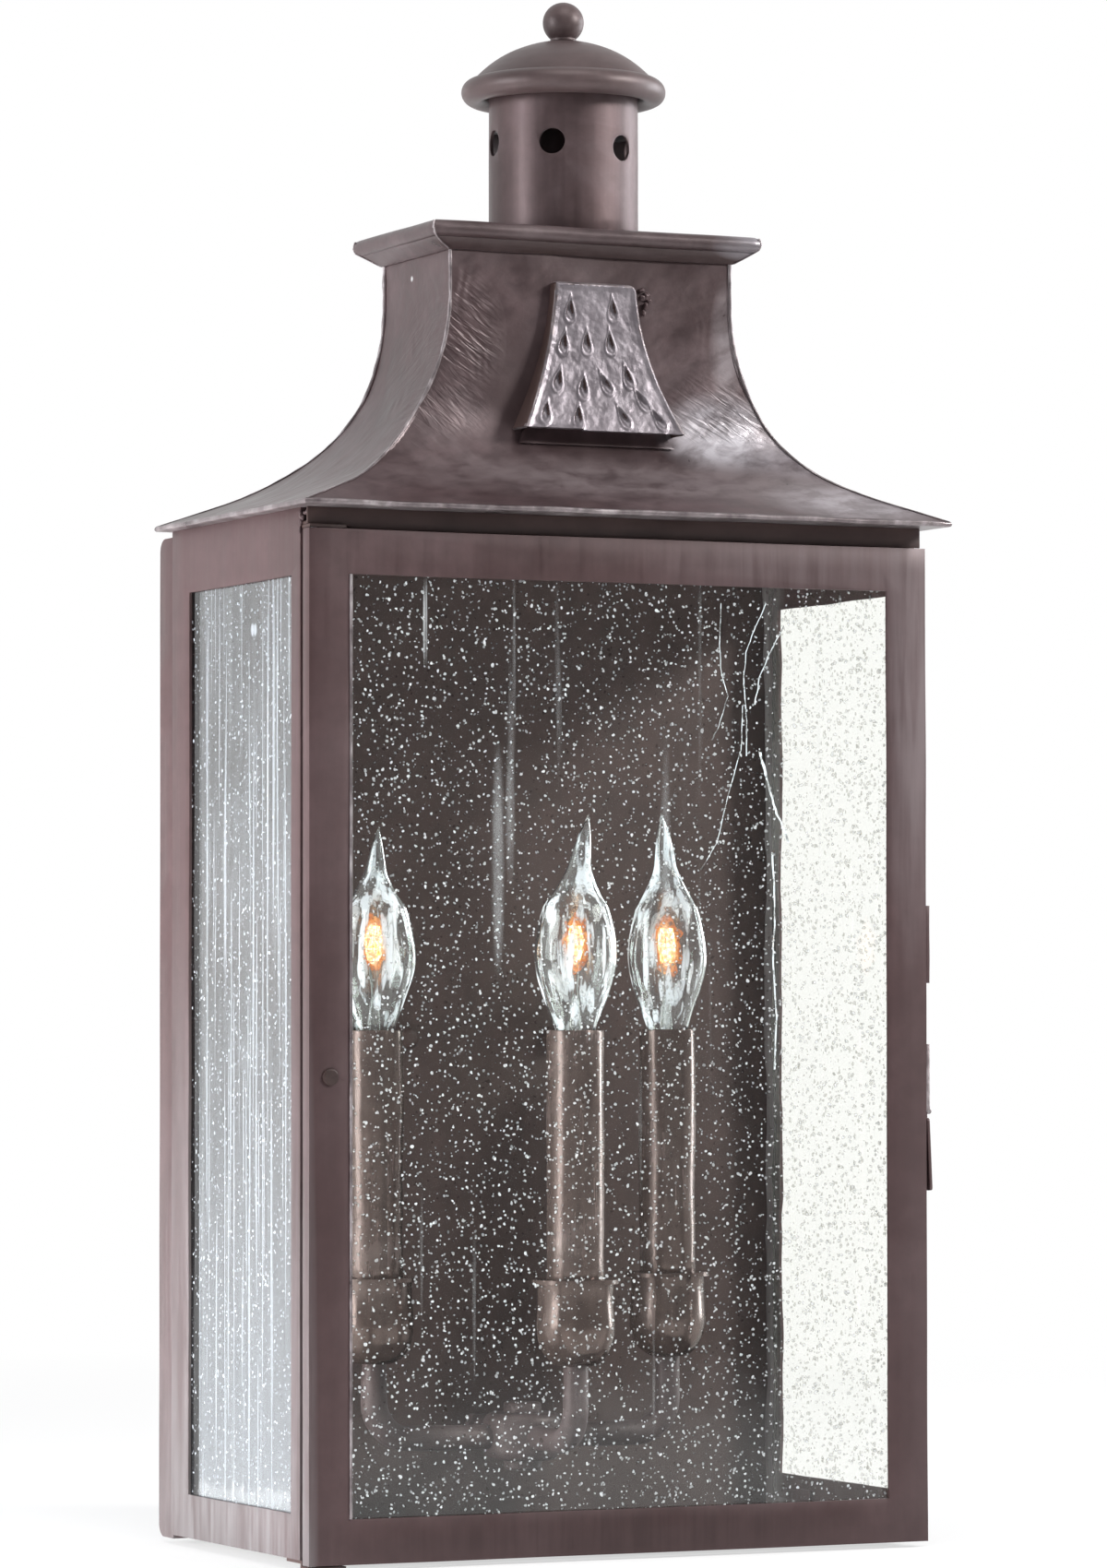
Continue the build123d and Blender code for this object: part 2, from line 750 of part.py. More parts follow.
def make_hub():
    """Turned hub with a bore for each arm and for the feed tube."""
    with BuildPart() as hub:
        with BuildSketch(Plane.XY.offset(hub_z - hub_height / 2)):
            with Locations((0, hub_y)):
                Circle(hub_radius)
        extrude(amount=hub_height)
        fillet(hub.edges().filter_by(GeomType.CIRCLE), hub_round)
        for turn in (0, 90, 180, 270):
            angle = radians(turn)
            bore_plane = Plane(
                origin=(
                    (hub_radius - hub_seat) * cos(angle),
                    hub_y + (hub_radius - hub_seat) * sin(angle),
                    hub_z,
                ),
                x_dir=(0, 0, 1),
                z_dir=(cos(angle), sin(angle), 0),
            )
            with BuildSketch(bore_plane):
                Circle(arm_radius)
            extrude(amount=2 * hub_seat, mode=Mode.SUBTRACT)
    keep(hub, "candle_hub")


def make_feed_tube():
    start = hub_y + hub_radius - hub_seat
    with BuildPart() as feed_tube:
        with BuildSketch(Plane.XZ.offset(-start)):
            with Locations((0, hub_z)):
                Circle(arm_radius)
                Circle(arm_radius - arm_wall, mode=Mode.SUBTRACT)
        extrude(amount=-(body_back_y - rear_step - start))
    keep(feed_tube, "feed_tube")


def make_feed_nuts():
    """Hexagon nuts each side of the back panel, and a knob nut under the hub."""
    with BuildPart() as feed_nuts:
        with BuildSketch(Plane.XZ.offset(-back_sheet_y)):
            with Locations((0, hub_z)):
                RegularPolygon(nut_radius, 6)
                Circle(arm_radius, mode=Mode.SUBTRACT)
        extrude(amount=nut_height)
        with BuildSketch(Plane.XY.offset(hub_z - hub_height / 2)):
            with Locations((0, hub_y)):
                Circle(nut_radius)
        extrude(amount=-nut_height)
        fillet(feed_nuts.faces().sort_by(Axis.Z)[0].edges(), nut_height / 3)
        with BuildSketch(Plane.XY.offset(hub_z + hub_height / 2)):
            with Locations((0, hub_y)):
                Circle(nut_radius)
        extrude(amount=nut_height)
        fillet(feed_nuts.faces().sort_by(Axis.Z)[-1].edges(), nut_height / 3)
    keep(feed_nuts, "hub_nuts")


def make_candle_arm(name, reach, direction):
    rise = cup_z + cup_seat - hub_z
    arm_plane = Plane(
        origin=(0, hub_y, hub_z),
        x_dir=(direction[0], direction[1], 0),
        z_dir=(direction[1], -direction[0], 0),
    )
    with BuildPart() as arm:
        with BuildLine(arm_plane) as path:
            run = Line((hub_radius - hub_seat, 0), (reach - arm_bend, 0))
            bend = JernArc(run @ 1, (1, 0), arm_bend, 90)
            Line(bend @ 1, (reach, rise))
        with BuildSketch(Plane(origin=path.line @ 0, z_dir=path.line % 0)):
            Circle(arm_radius)
            Circle(arm_radius - arm_wall, mode=Mode.SUBTRACT)
        sweep()
    keep(arm, f"candle_arm_{name}")


def make_candle_cup(name, place):
    """Turned cup: a round bulge under a thin drip disc, bored for the arm."""
    disc_z = cup_top_z - cup_disc
    bulge_z = cup_z + cup_height / 3
    collar_radius = (cup_disc_radius + cup_bulge_radius) / 2 - arm_wall
    with BuildPart() as cup:
        with BuildSketch(Plane.XZ.offset(-place[1])):
            with BuildLine():
                Polyline((0, cup_z), (cup_foot_radius, cup_z))
                Spline(
                    (cup_foot_radius, cup_z),
                    (cup_bulge_radius, bulge_z),
                    (collar_radius, disc_z),
                    tangents=((1, 0.3), (0.1, 1)),
                )
                Polyline(
                    (collar_radius, disc_z),
                    (cup_disc_radius, disc_z),
                    (cup_disc_radius, cup_top_z),
                    (0, cup_top_z),
                    (0, cup_z),
                )
            make_face()
        revolve(axis=Axis((0, place[1], 0), (0, 0, 1)))
        with BuildSketch(Plane.XY.offset(cup_z)):
            with Locations((0, place[1])):
                Circle(arm_radius)
        extrude(amount=cup_seat, mode=Mode.SUBTRACT)
        with BuildSketch(Plane.XY.offset(cup_z)):
            with Locations((0, place[1])):
                Circle(arm_radius - arm_wall)
        extrude(amount=cup_height, mode=Mode.SUBTRACT)
    cup.part = Pos(place[0], 0, 0) * cup.part
    keep(cup, f"candle_cup_{name}")


def make_lamp_socket(name, place):
    with BuildPart() as socket:
        with BuildSketch(Plane.XY.offset(cup_top_z)):
            with Locations(place):
                Circle(socket_stem_radius)
        extrude(amount=socket_z - socket_length - cup_top_z)
        with BuildSketch(Plane.XY.offset(socket_z - socket_length)):
            with Locations(place):
                Circle(socket_radius)
        extrude(amount=socket_length)
        with BuildSketch(Plane.XY.offset(socket_z)):
            with Locations(place):
                Circle(bulb_base_radius + socket_bore_clearance)
        extrude(amount=-socket_bore, mode=Mode.SUBTRACT)
        fillet(socket.faces().sort_by(Axis.Z)[-1].edges().sort_by(SortBy.RADIUS)[-1], sheet / 2)
    keep(socket, f"lamp_socket_{name}")


def make_candle_sleeve(name, place):
    with BuildPart() as sleeve:
        with BuildSketch(Plane.XY.offset(cup_top_z)):
            with Locations(place):
                Circle(sleeve_radius)
                Circle(sleeve_radius - sleeve_wall, mode=Mode.SUBTRACT)
        extrude(amount=sleeve_height)
        fillet(sleeve.faces().sort_by(Axis.Z)[-1].edges(), sleeve_wall / 3)
    keep(sleeve, f"candle_sleeve_{name}")


def make_bulb_base(name, place):
    with BuildPart() as bulb_base:
        with BuildSketch(Plane.XY.offset(base_z)):
            with Locations(place):
                Circle(bulb_base_radius)
        extrude(amount=bulb_base_length)
        chamfer(bulb_base.faces().sort_by(Axis.Z)[0].edges(), bulb_base_radius / 3)
    keep(bulb_base, f"bulb_base_{name}")


def bulb_half(inset):
    """Edges of half a flame-tip bulb, from its collar to its point and down the axis."""
    collar = bulb_base_radius + wire_radius - inset
    with BuildLine() as half:
        flame = Spline(
            (collar, bulb_z),
            (bulb_radius - inset, bulb_z + bulb_belly_share * bulb_height),
            (bulb_taper_width * bulb_radius - inset, bulb_z + bulb_taper_share * bulb_height),
            (0, bulb_z + bulb_height - 2 * inset),
            tangents=((0.35, 1), (-0.6, 1)),
        )
        Line(flame @ 1, (0, bulb_z))
        Line((0, bulb_z), flame @ 0)
    return half.edges()


def make_bulb_glass(name, place):
    with BuildPart() as bulb_glass:
        with BuildSketch(Plane.XZ.offset(-place[1])):
            make_face(bulb_half(0))
            make_face(bulb_half(bulb_wall), mode=Mode.SUBTRACT)
        revolve(axis=Axis((0, place[1], 0), (0, 0, 1)))
    bulb_glass.part = Pos(place[0], 0, 0) * bulb_glass.part
    keep(bulb_glass, f"bulb_glass_{name}")


def make_bulb_filament(name, place):
    """Glass press with a hairpin of wire standing in it."""
    top = bulb_z + wire_rise
    with BuildPart() as filament:
        with BuildSketch(Plane.XY.offset(bulb_z)):
            with Locations(place):
                Circle(press_radius)
        extrude(amount=press_height)
        wire_plane = Plane(origin=(place[0], place[1], 0), x_dir=(1, 0, 0), z_dir=(0, -1, 0))
        with BuildLine(wire_plane) as wire:
            rise = Line((-wire_spread, bulb_z + press_height / 2), (-wire_spread, top))
            loop = JernArc(rise @ 1, (0, 1), wire_spread, -180)
            Line(loop @ 1, (wire_spread, bulb_z + press_height / 2))
        with BuildSketch(Plane(origin=wire.line @ 0, z_dir=wire.line % 0)):
            Circle(wire_radius)
        sweep()
    keep(filament, f"bulb_filament_{name}")


def make_door_frame():
    pin_plane_z = (door_top_z, foot_z + sheet)
    with BuildPart() as door_frame:
        with BuildSketch(Plane.XZ.offset(lamp_depth)):
            with Locations((0, door_mid_z)):
                Rectangle(door_width, door_height)
        extrude(amount=-door_depth)
        offset(amount=-sheet, openings=door_frame.faces().sort_by(Axis.Y)[-1])
        with BuildSketch(Plane.XZ.offset(lamp_depth)):
            with Locations((0, door_mid_z)):
                Rectangle(door_width - 2 * door_rail, door_height - 2 * door_rail)
            with Locations((stile_rivet_inset - half_width, foot_z + stile_rivet_rise)):
                Circle(rivet_radius)
        extrude(amount=-sheet, mode=Mode.SUBTRACT)
        for height in pin_plane_z:
            with BuildSketch(Plane.XY.offset(height)):
                with Locations((hinge_x, hinge_y)):
                    Circle(pin_radius)
            extrude(amount=-sheet, mode=Mode.SUBTRACT)
        with BuildSketch(Plane.YZ.offset(half_width)):
            with Locations(*latch_rivet_places()):
                Circle(rivet_radius)
        extrude(amount=-sheet, mode=Mode.SUBTRACT)
    keep(door_frame, "door_frame")


def make_door_glass():
    with BuildPart() as door_glass:
        with BuildSketch(Plane.XZ.offset(lamp_depth - sheet)):
            with Locations((0, door_mid_z)):
                Rectangle(door_width - 2 * door_glass_margin, door_height - 2 * door_glass_margin)
        extrude(amount=-glass)
    keep(door_glass, "door_glass")


def make_door_glass_clips():
    frame_y = front_y + sheet
    half_glass = half_width - door_glass_margin
    half_rise = door_height / 2 - door_glass_margin
    with BuildPart() as clips:
        for edge in (-1, 1):
            for share in (-door_stile_clip_share, 0.0, door_stile_clip_share):
                place = Plane(
                    origin=(edge * half_glass, frame_y, door_mid_z + share * door_height),
                    x_dir=(edge, 0, 0),
                    z_dir=(0, 0, edge),
                )
                with BuildSketch(place):
                    make_face(clip_section())
                extrude(amount=clip_width / 2, both=True)
            for share in (-door_clip_share, door_clip_share):
                place = Plane(
                    origin=(share * door_width, frame_y, door_mid_z + edge * half_rise),
                    x_dir=(0, 0, edge),
                    z_dir=(-edge, 0, 0),
                )
                with BuildSketch(place):
                    make_face(clip_section())
                extrude(amount=clip_width / 2, both=True)
    keep(clips, "door_glass_clips")


def make_hinge_pins():
    """Headed pins through the door's top and bottom returns into the hinge brackets."""
    reach = sheet + bracket_gap + sheet
    with BuildPart() as pins:
        for start, out in ((door_top_z - sheet, 1), (foot_z + sheet, -1)):
            with BuildSketch(Plane.XY.offset(start)):
                with Locations((hinge_x, hinge_y)):
                    Circle(pin_radius)
            extrude(amount=out * reach)
            with BuildSketch(Plane.XY.offset(start)):
                with Locations((hinge_x, hinge_y)):
                    Circle(pin_head_radius)
            extrude(amount=-out * pin_head)
    keep(pins, "hinge_pins")


def make_hinge_brackets():
    """Upper plate under the header, and a joggled lower plate under the body."""
    front = front_y + sheet / 2
    low = foot_z - bracket_gap - sheet
    step = body_front_y - joggle
    left = -half_width + header_inset
    with BuildPart() as brackets:
        with BuildSketch(Plane.XY.offset(door_top_z + bracket_gap)):
            with Locations((left, front)):
                Rectangle(bracket_width, body_front_y - rear_step - front, align=Align.MIN)
            with Locations((hinge_x, hinge_y)):
                Circle(pin_radius + pin_clearance, mode=Mode.SUBTRACT)
        extrude(amount=sheet)
        with BuildSketch(Plane.YZ.offset(left)):
            with BuildLine():
                Polyline(
                    (front, low),
                    (step + sheet, low),
                    (step + sheet, body_foot_z - sheet),
                    (body_front_y + bracket_reach, body_foot_z - sheet),
                    (body_front_y + bracket_reach, body_foot_z),
                    (step, body_foot_z),
                    (step, low + sheet),
                    (front, low + sheet),
                    close=True,
                )
            make_face()
        extrude(amount=bracket_width)
        with BuildSketch(Plane.XY.offset(low)):
            with Locations((hinge_x, hinge_y)):
                Circle(pin_radius + pin_clearance)
        extrude(amount=sheet, mode=Mode.SUBTRACT)
    keep(brackets, "hinge_brackets")


def keeper_rivet_places():
    """Rivets of the keeper, as (y, z) on the side of the body."""
    y = body_front_y + sheet + rivet_tail_radius + knuckle_gap
    low = foot_z + keeper_rise + keeper_height / 4
    return (y, low), (y, low + keeper_height / 2)


def latch_rivet_places():
    """Rivets of the latch plate, as (y, z) on the side of the door."""
    y = front_y + latch_setback + latch_width / 2
    low = latch_z + latch_height / 3
    return (y, low), (y, latch_z + 5 * latch_height / 6)


def side_rivets(places, outer_x, grip):
    """Round-headed rivets through a side face, with a small tail inside."""
    with BuildPart() as rivets:
        for y, z in places:
            with BuildSketch(Plane.YZ.offset(outer_x)):
                with Locations((y, z)):
                    Circle(rivet_radius)
            extrude(amount=-grip)
            with BuildSketch(Plane.YZ.offset(outer_x - grip)):
                with Locations((y, z)):
                    Circle(rivet_tail_radius)
            extrude(amount=-rivet_tail)
            with BuildSketch(Plane(origin=(outer_x, y, z), x_dir=(1, 0, 0), z_dir=(0, -1, 0))):
                with BuildLine():
                    Line((0, 0), (rivet_head, 0))
                    RadiusArc((rivet_head, 0), (0, rivet_head_radius), -rivet_dome_radius)
                    Line((0, rivet_head_radius), (0, 0))
                make_face()
            revolve(axis=Axis((outer_x, y, z), (1, 0, 0)))
    return rivets.part


def make_latch_keeper():
    """Spring plate riveted to the side frame, its free end lapping the door's return."""
    out = keeper_clearance + keeper_sheet
    with BuildPart() as keeper:
        with BuildSketch(Plane.XY.offset(foot_z + keeper_rise)):
            with BuildLine():
                Polyline(
                    (half_width, front_y + keeper_back),
                    (half_width, body_front_y + joggle / 2),
                    (half_width + keeper_clearance, body_front_y - joggle / 2),
                    (half_width + keeper_clearance, front_y + keeper_front),
                    (half_width + out, front_y + keeper_front),
                    (half_width + out, body_front_y),
                    (half_width + keeper_sheet, body_front_y + joggle),
                    (half_width + keeper_sheet, front_y + keeper_back),
                    close=True,
                )
            make_face()
        extrude(amount=keeper_height)
        with BuildSketch(Plane.YZ.offset(half_width)):
            with Locations(*keeper_rivet_places()):
                Circle(rivet_radius)
        extrude(amount=keeper_sheet, mode=Mode.SUBTRACT)
    keep(keeper, "latch_keeper")


def make_keeper_rivets():
    with BuildPart() as rivets:
        add(side_rivets(keeper_rivet_places(), half_width + keeper_sheet, keeper_sheet + sheet))
    keep(rivets, "keeper_rivets")


def knuckle_spans():
    """Start and end of the three hinge knuckles, from the front."""
    start = front_y + latch_setback
    pitch = knuckle_width + knuckle_gap
    return [(start + n * pitch, start + n * pitch + knuckle_width) for n in range(3)]


def make_latch_plate():
    """Plate riveted to the door's side, with the two outer knuckles of the finger tab's hinge."""
    spans = knuckle_spans()
    with BuildPart() as plate:
        with BuildSketch(Plane.YZ.offset(half_width)):
            with Locations((front_y + latch_setback, latch_z + 2 * knuckle_radius)):
                Rectangle(latch_width, latch_height - 2 * knuckle_radius, align=Align.MIN)
        extrude(amount=latch_sheet)
        for low, high in (spans[0], spans[2]):
            with BuildSketch(Plane.XZ.offset(-low)):
                with Locations((latch_x, latch_z)):
                    Circle(knuckle_radius)
                with Locations((half_width + rear_step, latch_z)):
                    Rectangle(latch_sheet, 2 * knuckle_radius + rear_step, align=Align.MIN)
                with Locations((latch_x, latch_z)):
                    Circle(latch_pin_radius, mode=Mode.SUBTRACT)
            extrude(amount=low - high)
        with BuildSketch(Plane.YZ.offset(half_width)):
            with Locations(*latch_rivet_places()):
                Circle(rivet_radius)
        extrude(amount=latch_sheet, mode=Mode.SUBTRACT)
    keep(plate, "latch_plate")


def make_latch_pin():
    spans = knuckle_spans()
    with BuildPart() as latch_pin:
        with BuildSketch(Plane.XZ.offset(-spans[0][0])):
            with Locations((latch_x, latch_z)):
                Circle(latch_pin_radius)
        extrude(amount=spans[0][0] - spans[2][1])
    keep(latch_pin, "latch_pin")


def make_latch_tab():
    """Finger tab that hangs from the inner side of the middle knuckle and tilts out from the door."""
    low, high = knuckle_spans()[1]
    lean = radians(tab_tilt)
    tab_plane = Plane(
        origin=(latch_x, 0, latch_z), x_dir=(0, 1, 0), z_dir=(cos(lean), 0, sin(lean))
    ).offset(-knuckle_radius)
    neck = knuckle_radius + knuckle_gap
    with BuildPart() as tab:
        with BuildSketch(tab_plane) as face:
            with Locations((front_y + latch_setback, -neck - tab_sheet)):
                Rectangle(tab_width, tab_length - neck - tab_sheet, align=(Align.MIN, Align.MAX))
            fillet(face.vertices(), tab_sheet)
            with Locations((low, 0)):
                Rectangle(high - low, neck + 2 * tab_sheet, align=(Align.MIN, Align.MAX))
        extrude(amount=tab_sheet)
        with BuildSketch(Plane.XZ.offset(-low)):
            with Locations((latch_x, latch_z)):
                Circle(knuckle_radius)
        extrude(amount=low - high)
        with BuildSketch(Plane.XZ.offset(-low)):
            with Locations((latch_x, latch_z)):
                Circle(latch_pin_radius + latch_pin_clearance)
        extrude(amount=low - high, mode=Mode.SUBTRACT)
    keep(tab, "latch_tab")


def make_door_rivets():
    """Two rivets of the latch plate and the large one on the left stile."""
    with BuildPart() as rivets:
        add(side_rivets(latch_rivet_places(), half_width + latch_sheet, latch_sheet + sheet))
        stile_plane = Plane.XZ.offset(lamp_depth)
        place = (stile_rivet_inset - half_width, foot_z + stile_rivet_rise)
        with BuildSketch(stile_plane):
            with Locations(place):
                Circle(stile_rivet_radius)
        extrude(amount=rivet_head)
        head = rivets.faces().sort_by(Axis.Y)[0]
        fillet(head.edges(), stile_rivet_round)
        with BuildSketch(stile_plane):
            with Locations(place):
                Circle(rivet_radius)
        extrude(amount=-sheet)
    keep(rivets, "door_rivets")


def make_crossbar():
    with BuildPart() as crossbar:
        with BuildSketch(Plane.XZ):
            RectangleRounded(bar_length, bar_width, bar_width / 4)
            Circle(bar_hole_radius, mode=Mode.SUBTRACT)
            with GridLocations(box_screw_spacing, 1, 2, 1):
                Circle(box_screw_radius, mode=Mode.SUBTRACT)
            with GridLocations(stud_spacing, 1, 2, 1):
                Circle(bar_stud_radius, mode=Mode.SUBTRACT)
        extrude(amount=bar_sheet)
    keep(crossbar, "mounting_crossbar")


def make_crossbar_studs():
    with BuildPart() as studs:
        with BuildSketch(Plane.XZ):
            with GridLocations(stud_spacing, 1, 2, 1):
                Circle(bar_stud_radius)
        extrude(amount=bar_stud_length)
    keep(studs, "crossbar_studs")


def make_cap_nuts():
    """Domed nuts on the studs, inside the lantern."""
    with BuildPart() as nuts:
        with BuildSketch(Plane.XZ.offset(-back_sheet_y)):
            with GridLocations(stud_spacing, 1, 2, 1):
                RegularPolygon(cap_nut_radius, 6)
        extrude(amount=cap_nut_height / 2)
        with BuildSketch(Plane.XZ.offset(-back_sheet_y)):
            with GridLocations(stud_spacing, 1, 2, 1):
                Circle(cap_nut_radius * cos(radians(30)) - cap_nut_shoulder)
        extrude(amount=cap_nut_height)
        domes = nuts.faces().group_by(Axis.Y)[0].edges()
        fillet(domes, cap_nut_height / 3)
        with BuildSketch(Plane.XZ.offset(-back_sheet_y)):
            with GridLocations(stud_spacing, 1, 2, 1):
                Circle(bar_stud_radius)
        extrude(amount=cap_nut_height - cap_nut_wall, mode=Mode.SUBTRACT)
    keep(nuts, "cap_nuts")


make_wall_pan()
make_crossbar()
make_crossbar_studs()
make_cap_nuts()
make_back_panel()
for side, hand in ((-1, "left"), (1, "right")):
    make_side_frame(side, f"{hand}_side_frame")
    make_side_glass(side, f"{hand}_side_glass")
    make_hood_side(side, f"hood_{hand}_sheet")
make_side_glass_clips()
make_floor_sheet()
make_front_header()
make_eave_ring()
make_hood_face(1, "hood_front_sheet")
make_hood_face(-1, "hood_rear_sheet")
make_vent_cowl()
make_vent_backing()
make_top_tray()
make_chimney()
make_cap()
make_cap_spider()
make_finial()
make_hub()
make_feed_tube()
make_feed_nuts()
make_candle_arm("left", side_reach, (-1, 0))
make_candle_arm("right", side_reach, (1, 0))
make_candle_arm("front", front_reach, (0, -1))
for name, place in lamp_places.items():
    make_candle_cup(name, place)
    make_lamp_socket(name, place)
    make_candle_sleeve(name, place)
    make_bulb_base(name, place)
    make_bulb_glass(name, place)
    make_bulb_filament(name, place)
make_door_frame()
make_door_glass()
make_door_glass_clips()
make_hinge_pins()
make_hinge_brackets()
make_latch_keeper()
make_keeper_rivets()
make_latch_plate()
make_latch_pin()
make_latch_tab()
make_door_rivets()
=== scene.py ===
import json
from math import asin, atan2, cos, hypot, pi, radians, sin, sqrt, tan

import bmesh
import bpy
from mathutils import Matrix, Vector, noise

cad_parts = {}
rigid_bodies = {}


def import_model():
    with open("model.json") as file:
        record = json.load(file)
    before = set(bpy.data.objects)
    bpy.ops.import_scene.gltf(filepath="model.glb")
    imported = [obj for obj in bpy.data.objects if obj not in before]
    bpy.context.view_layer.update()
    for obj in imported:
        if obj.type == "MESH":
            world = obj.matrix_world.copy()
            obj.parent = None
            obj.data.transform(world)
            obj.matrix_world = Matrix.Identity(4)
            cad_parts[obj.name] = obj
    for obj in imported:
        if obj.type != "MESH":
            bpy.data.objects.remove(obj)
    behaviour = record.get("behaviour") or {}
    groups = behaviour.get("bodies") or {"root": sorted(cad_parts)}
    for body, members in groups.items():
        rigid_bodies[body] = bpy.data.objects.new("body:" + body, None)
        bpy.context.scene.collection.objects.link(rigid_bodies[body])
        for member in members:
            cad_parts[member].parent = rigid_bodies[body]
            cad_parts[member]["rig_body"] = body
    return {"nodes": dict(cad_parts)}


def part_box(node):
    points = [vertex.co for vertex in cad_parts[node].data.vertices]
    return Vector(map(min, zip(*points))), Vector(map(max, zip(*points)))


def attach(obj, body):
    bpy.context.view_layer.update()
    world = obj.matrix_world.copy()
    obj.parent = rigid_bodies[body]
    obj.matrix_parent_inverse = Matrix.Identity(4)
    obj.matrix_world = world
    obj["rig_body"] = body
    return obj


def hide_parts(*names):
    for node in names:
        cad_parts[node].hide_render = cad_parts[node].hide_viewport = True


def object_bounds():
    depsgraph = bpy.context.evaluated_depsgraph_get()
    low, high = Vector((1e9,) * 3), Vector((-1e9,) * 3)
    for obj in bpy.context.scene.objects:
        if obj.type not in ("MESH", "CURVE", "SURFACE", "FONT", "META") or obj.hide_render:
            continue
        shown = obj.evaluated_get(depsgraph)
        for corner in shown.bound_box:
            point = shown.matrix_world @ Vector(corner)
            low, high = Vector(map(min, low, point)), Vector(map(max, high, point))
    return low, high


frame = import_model()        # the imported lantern: metres, +Z up, wall plane at y = 0
cadLow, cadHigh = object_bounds()
print("frame loaded:", len(frame["nodes"]), "nodes")

mm = 0.001
hair = 1e-6        # heights closer than this are one row
noise.seed_set(7)        # Blender seeds noise vectors from the clock; this keeps each run the same


# modes, selections, modifiers and the body that a piece rides on
def setMode(mode):
    bpy.ops.object.mode_set(mode=mode)


def clearSelection():
    if bpy.context.object and bpy.context.object.mode != "OBJECT":
        setMode("OBJECT")
    bpy.ops.object.select_all(action="DESELECT")


def activate(piece):
    clearSelection()
    piece.select_set(True)
    bpy.context.view_layer.objects.active = piece


def editAll(piece):
    activate(piece)
    setMode("EDIT")
    bpy.ops.mesh.select_all(action="SELECT")


def applyModifiers(piece):
    activate(piece)
    for modifier in list(piece.modifiers):
        bpy.ops.object.modifier_apply(modifier=modifier.name)


def placeInMesh(piece):
    activate(piece)
    bpy.ops.object.transform_apply(location=True, rotation=True, scale=True)


def smooth(piece, degrees=32):
    activate(piece)
    bpy.ops.object.shade_smooth_by_angle(angle=radians(degrees))


def faceOutward(piece):
    editAll(piece)
    bpy.ops.mesh.normals_make_consistent(inside=False)
    setMode("OBJECT")


def joinPieces(pieces):
    clearSelection()
    for piece in pieces:
        piece.select_set(True)
    bpy.context.view_layer.objects.active = pieces[0]
    bpy.ops.object.join()
    return pieces[0]


def link(thing):
    bpy.context.scene.collection.objects.link(thing)


def finishPiece(piece, name, body, finishes, replaced=()):
    piece.name = name
    piece.data.name = name
    piece.data.materials.clear()
    for finish in finishes:
        piece.data.materials.append(materials[finish])
    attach(piece, body)
    if replaced:
        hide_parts(*replaced)


def dressNode(piece, node, name, finishes):
    finishPiece(piece, name, frame["nodes"][node]["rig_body"], finishes, [node])


# shader nodes: they go into the tree on the bench; inputs are numbers, colours or other nodes' outputs
bench = {}


def setInputs(node, inputs):
    for key, value in inputs.items():
        socket = node.inputs[key]
        if isinstance(value, bpy.types.NodeSocket):
            bench["tree"].links.new(value, socket)
        elif socket.type == "RGBA":
            socket.default_value = (*value, 1)
        else:
            socket.default_value = value


def addNode(kind, inputs, **settings):
    node = bench["tree"].nodes.new("ShaderNode" + kind)
    for name, value in settings.items():
        setattr(node, name, value)
    setInputs(node, inputs)
    return node.outputs


def newMaterial(name):
    material = bpy.data.materials.new(name)
    material.use_nodes = True
    bench["tree"] = material.node_tree
    return material, material.node_tree.nodes["Principled BSDF"]


def setSurface(surface):
    setInputs(bench["tree"].nodes["Material Output"], {"Surface": surface})


def objectPoint(scale=(1, 1, 1), turn=(0, 0, 0)):
    # turned before it is scaled, so that a stretch can run aslant
    place = addNode("TexCoord", {})["Object"]
    place = addNode("Mapping", {"Vector": place, "Rotation": [radians(a) for a in turn]})[0]
    return addNode("Mapping", {"Vector": place, "Scale": scale})[0]


def noiseNode(point, scale, detail=3.0, rough=0.55, distortion=0.0):
    return addNode("TexNoise", {"Vector": point, "Scale": scale, "Detail": detail, "Roughness": rough,
                                      "Distortion": distortion})["Fac"]


def ramp(value, stops):
    node = bench["tree"].nodes.new("ShaderNodeValToRGB")
    elements = node.color_ramp.elements
    while len(elements) < len(stops):
        elements.new(0.5)
    for element, (place, colour) in zip(elements, stops):
        element.position = place
        element.color = (*colour, 1)
    setInputs(node, {"Fac": value})
    return node.outputs["Color"]


def mathNode(operation, first, second):
    return addNode("Math", {0: first, 1: second}, operation=operation)[0]


def times(first, second):
    return mathNode("MULTIPLY", first, second)


def larger(first, second):
    return mathNode("MAXIMUM", first, second)


def mapRange(value, fromLow, fromHigh, toLow=0.0, toHigh=1.0):
    return addNode("MapRange", {"Value": value, "From Min": fromLow, "From Max": fromHigh,
                                      "To Min": toLow, "To Max": toHigh})["Result"]


def mixColour(factor, first, second, blend="MIX"):
    return addNode("Mix", {0: factor, 6: first, 7: second}, data_type="RGBA", blend_type=blend)[2]


def mixShaders(factor, first, second):
    return addNode("MixShader", {0: factor, 1: first, 2: second})[0]


def addBump(shader, height, distance):
    bump = addNode("Bump", {"Strength": 1.0, "Distance": distance, "Height": height})[0]
    setInputs(shader, {"Normal": bump})


def lengthOf(vector):
    return addNode("VectorMath", {0: vector}, operation="LENGTH")["Value"]


def spotMask(centre, reach, core=0.35):
    # 1 inside an egg-shaped patch round centre, fading to 0 at its reach, both in millimetres
    place = addNode("TexCoord", {})["Object"]
    place = addNode("Mapping", {"Vector": place, "Location": [-c / r for c, r in zip(centre, reach)],
                                      "Scale": [1 / (r * mm) for r in reach]})[0]
    return mapRange(lengthOf(place), 1.0, core)


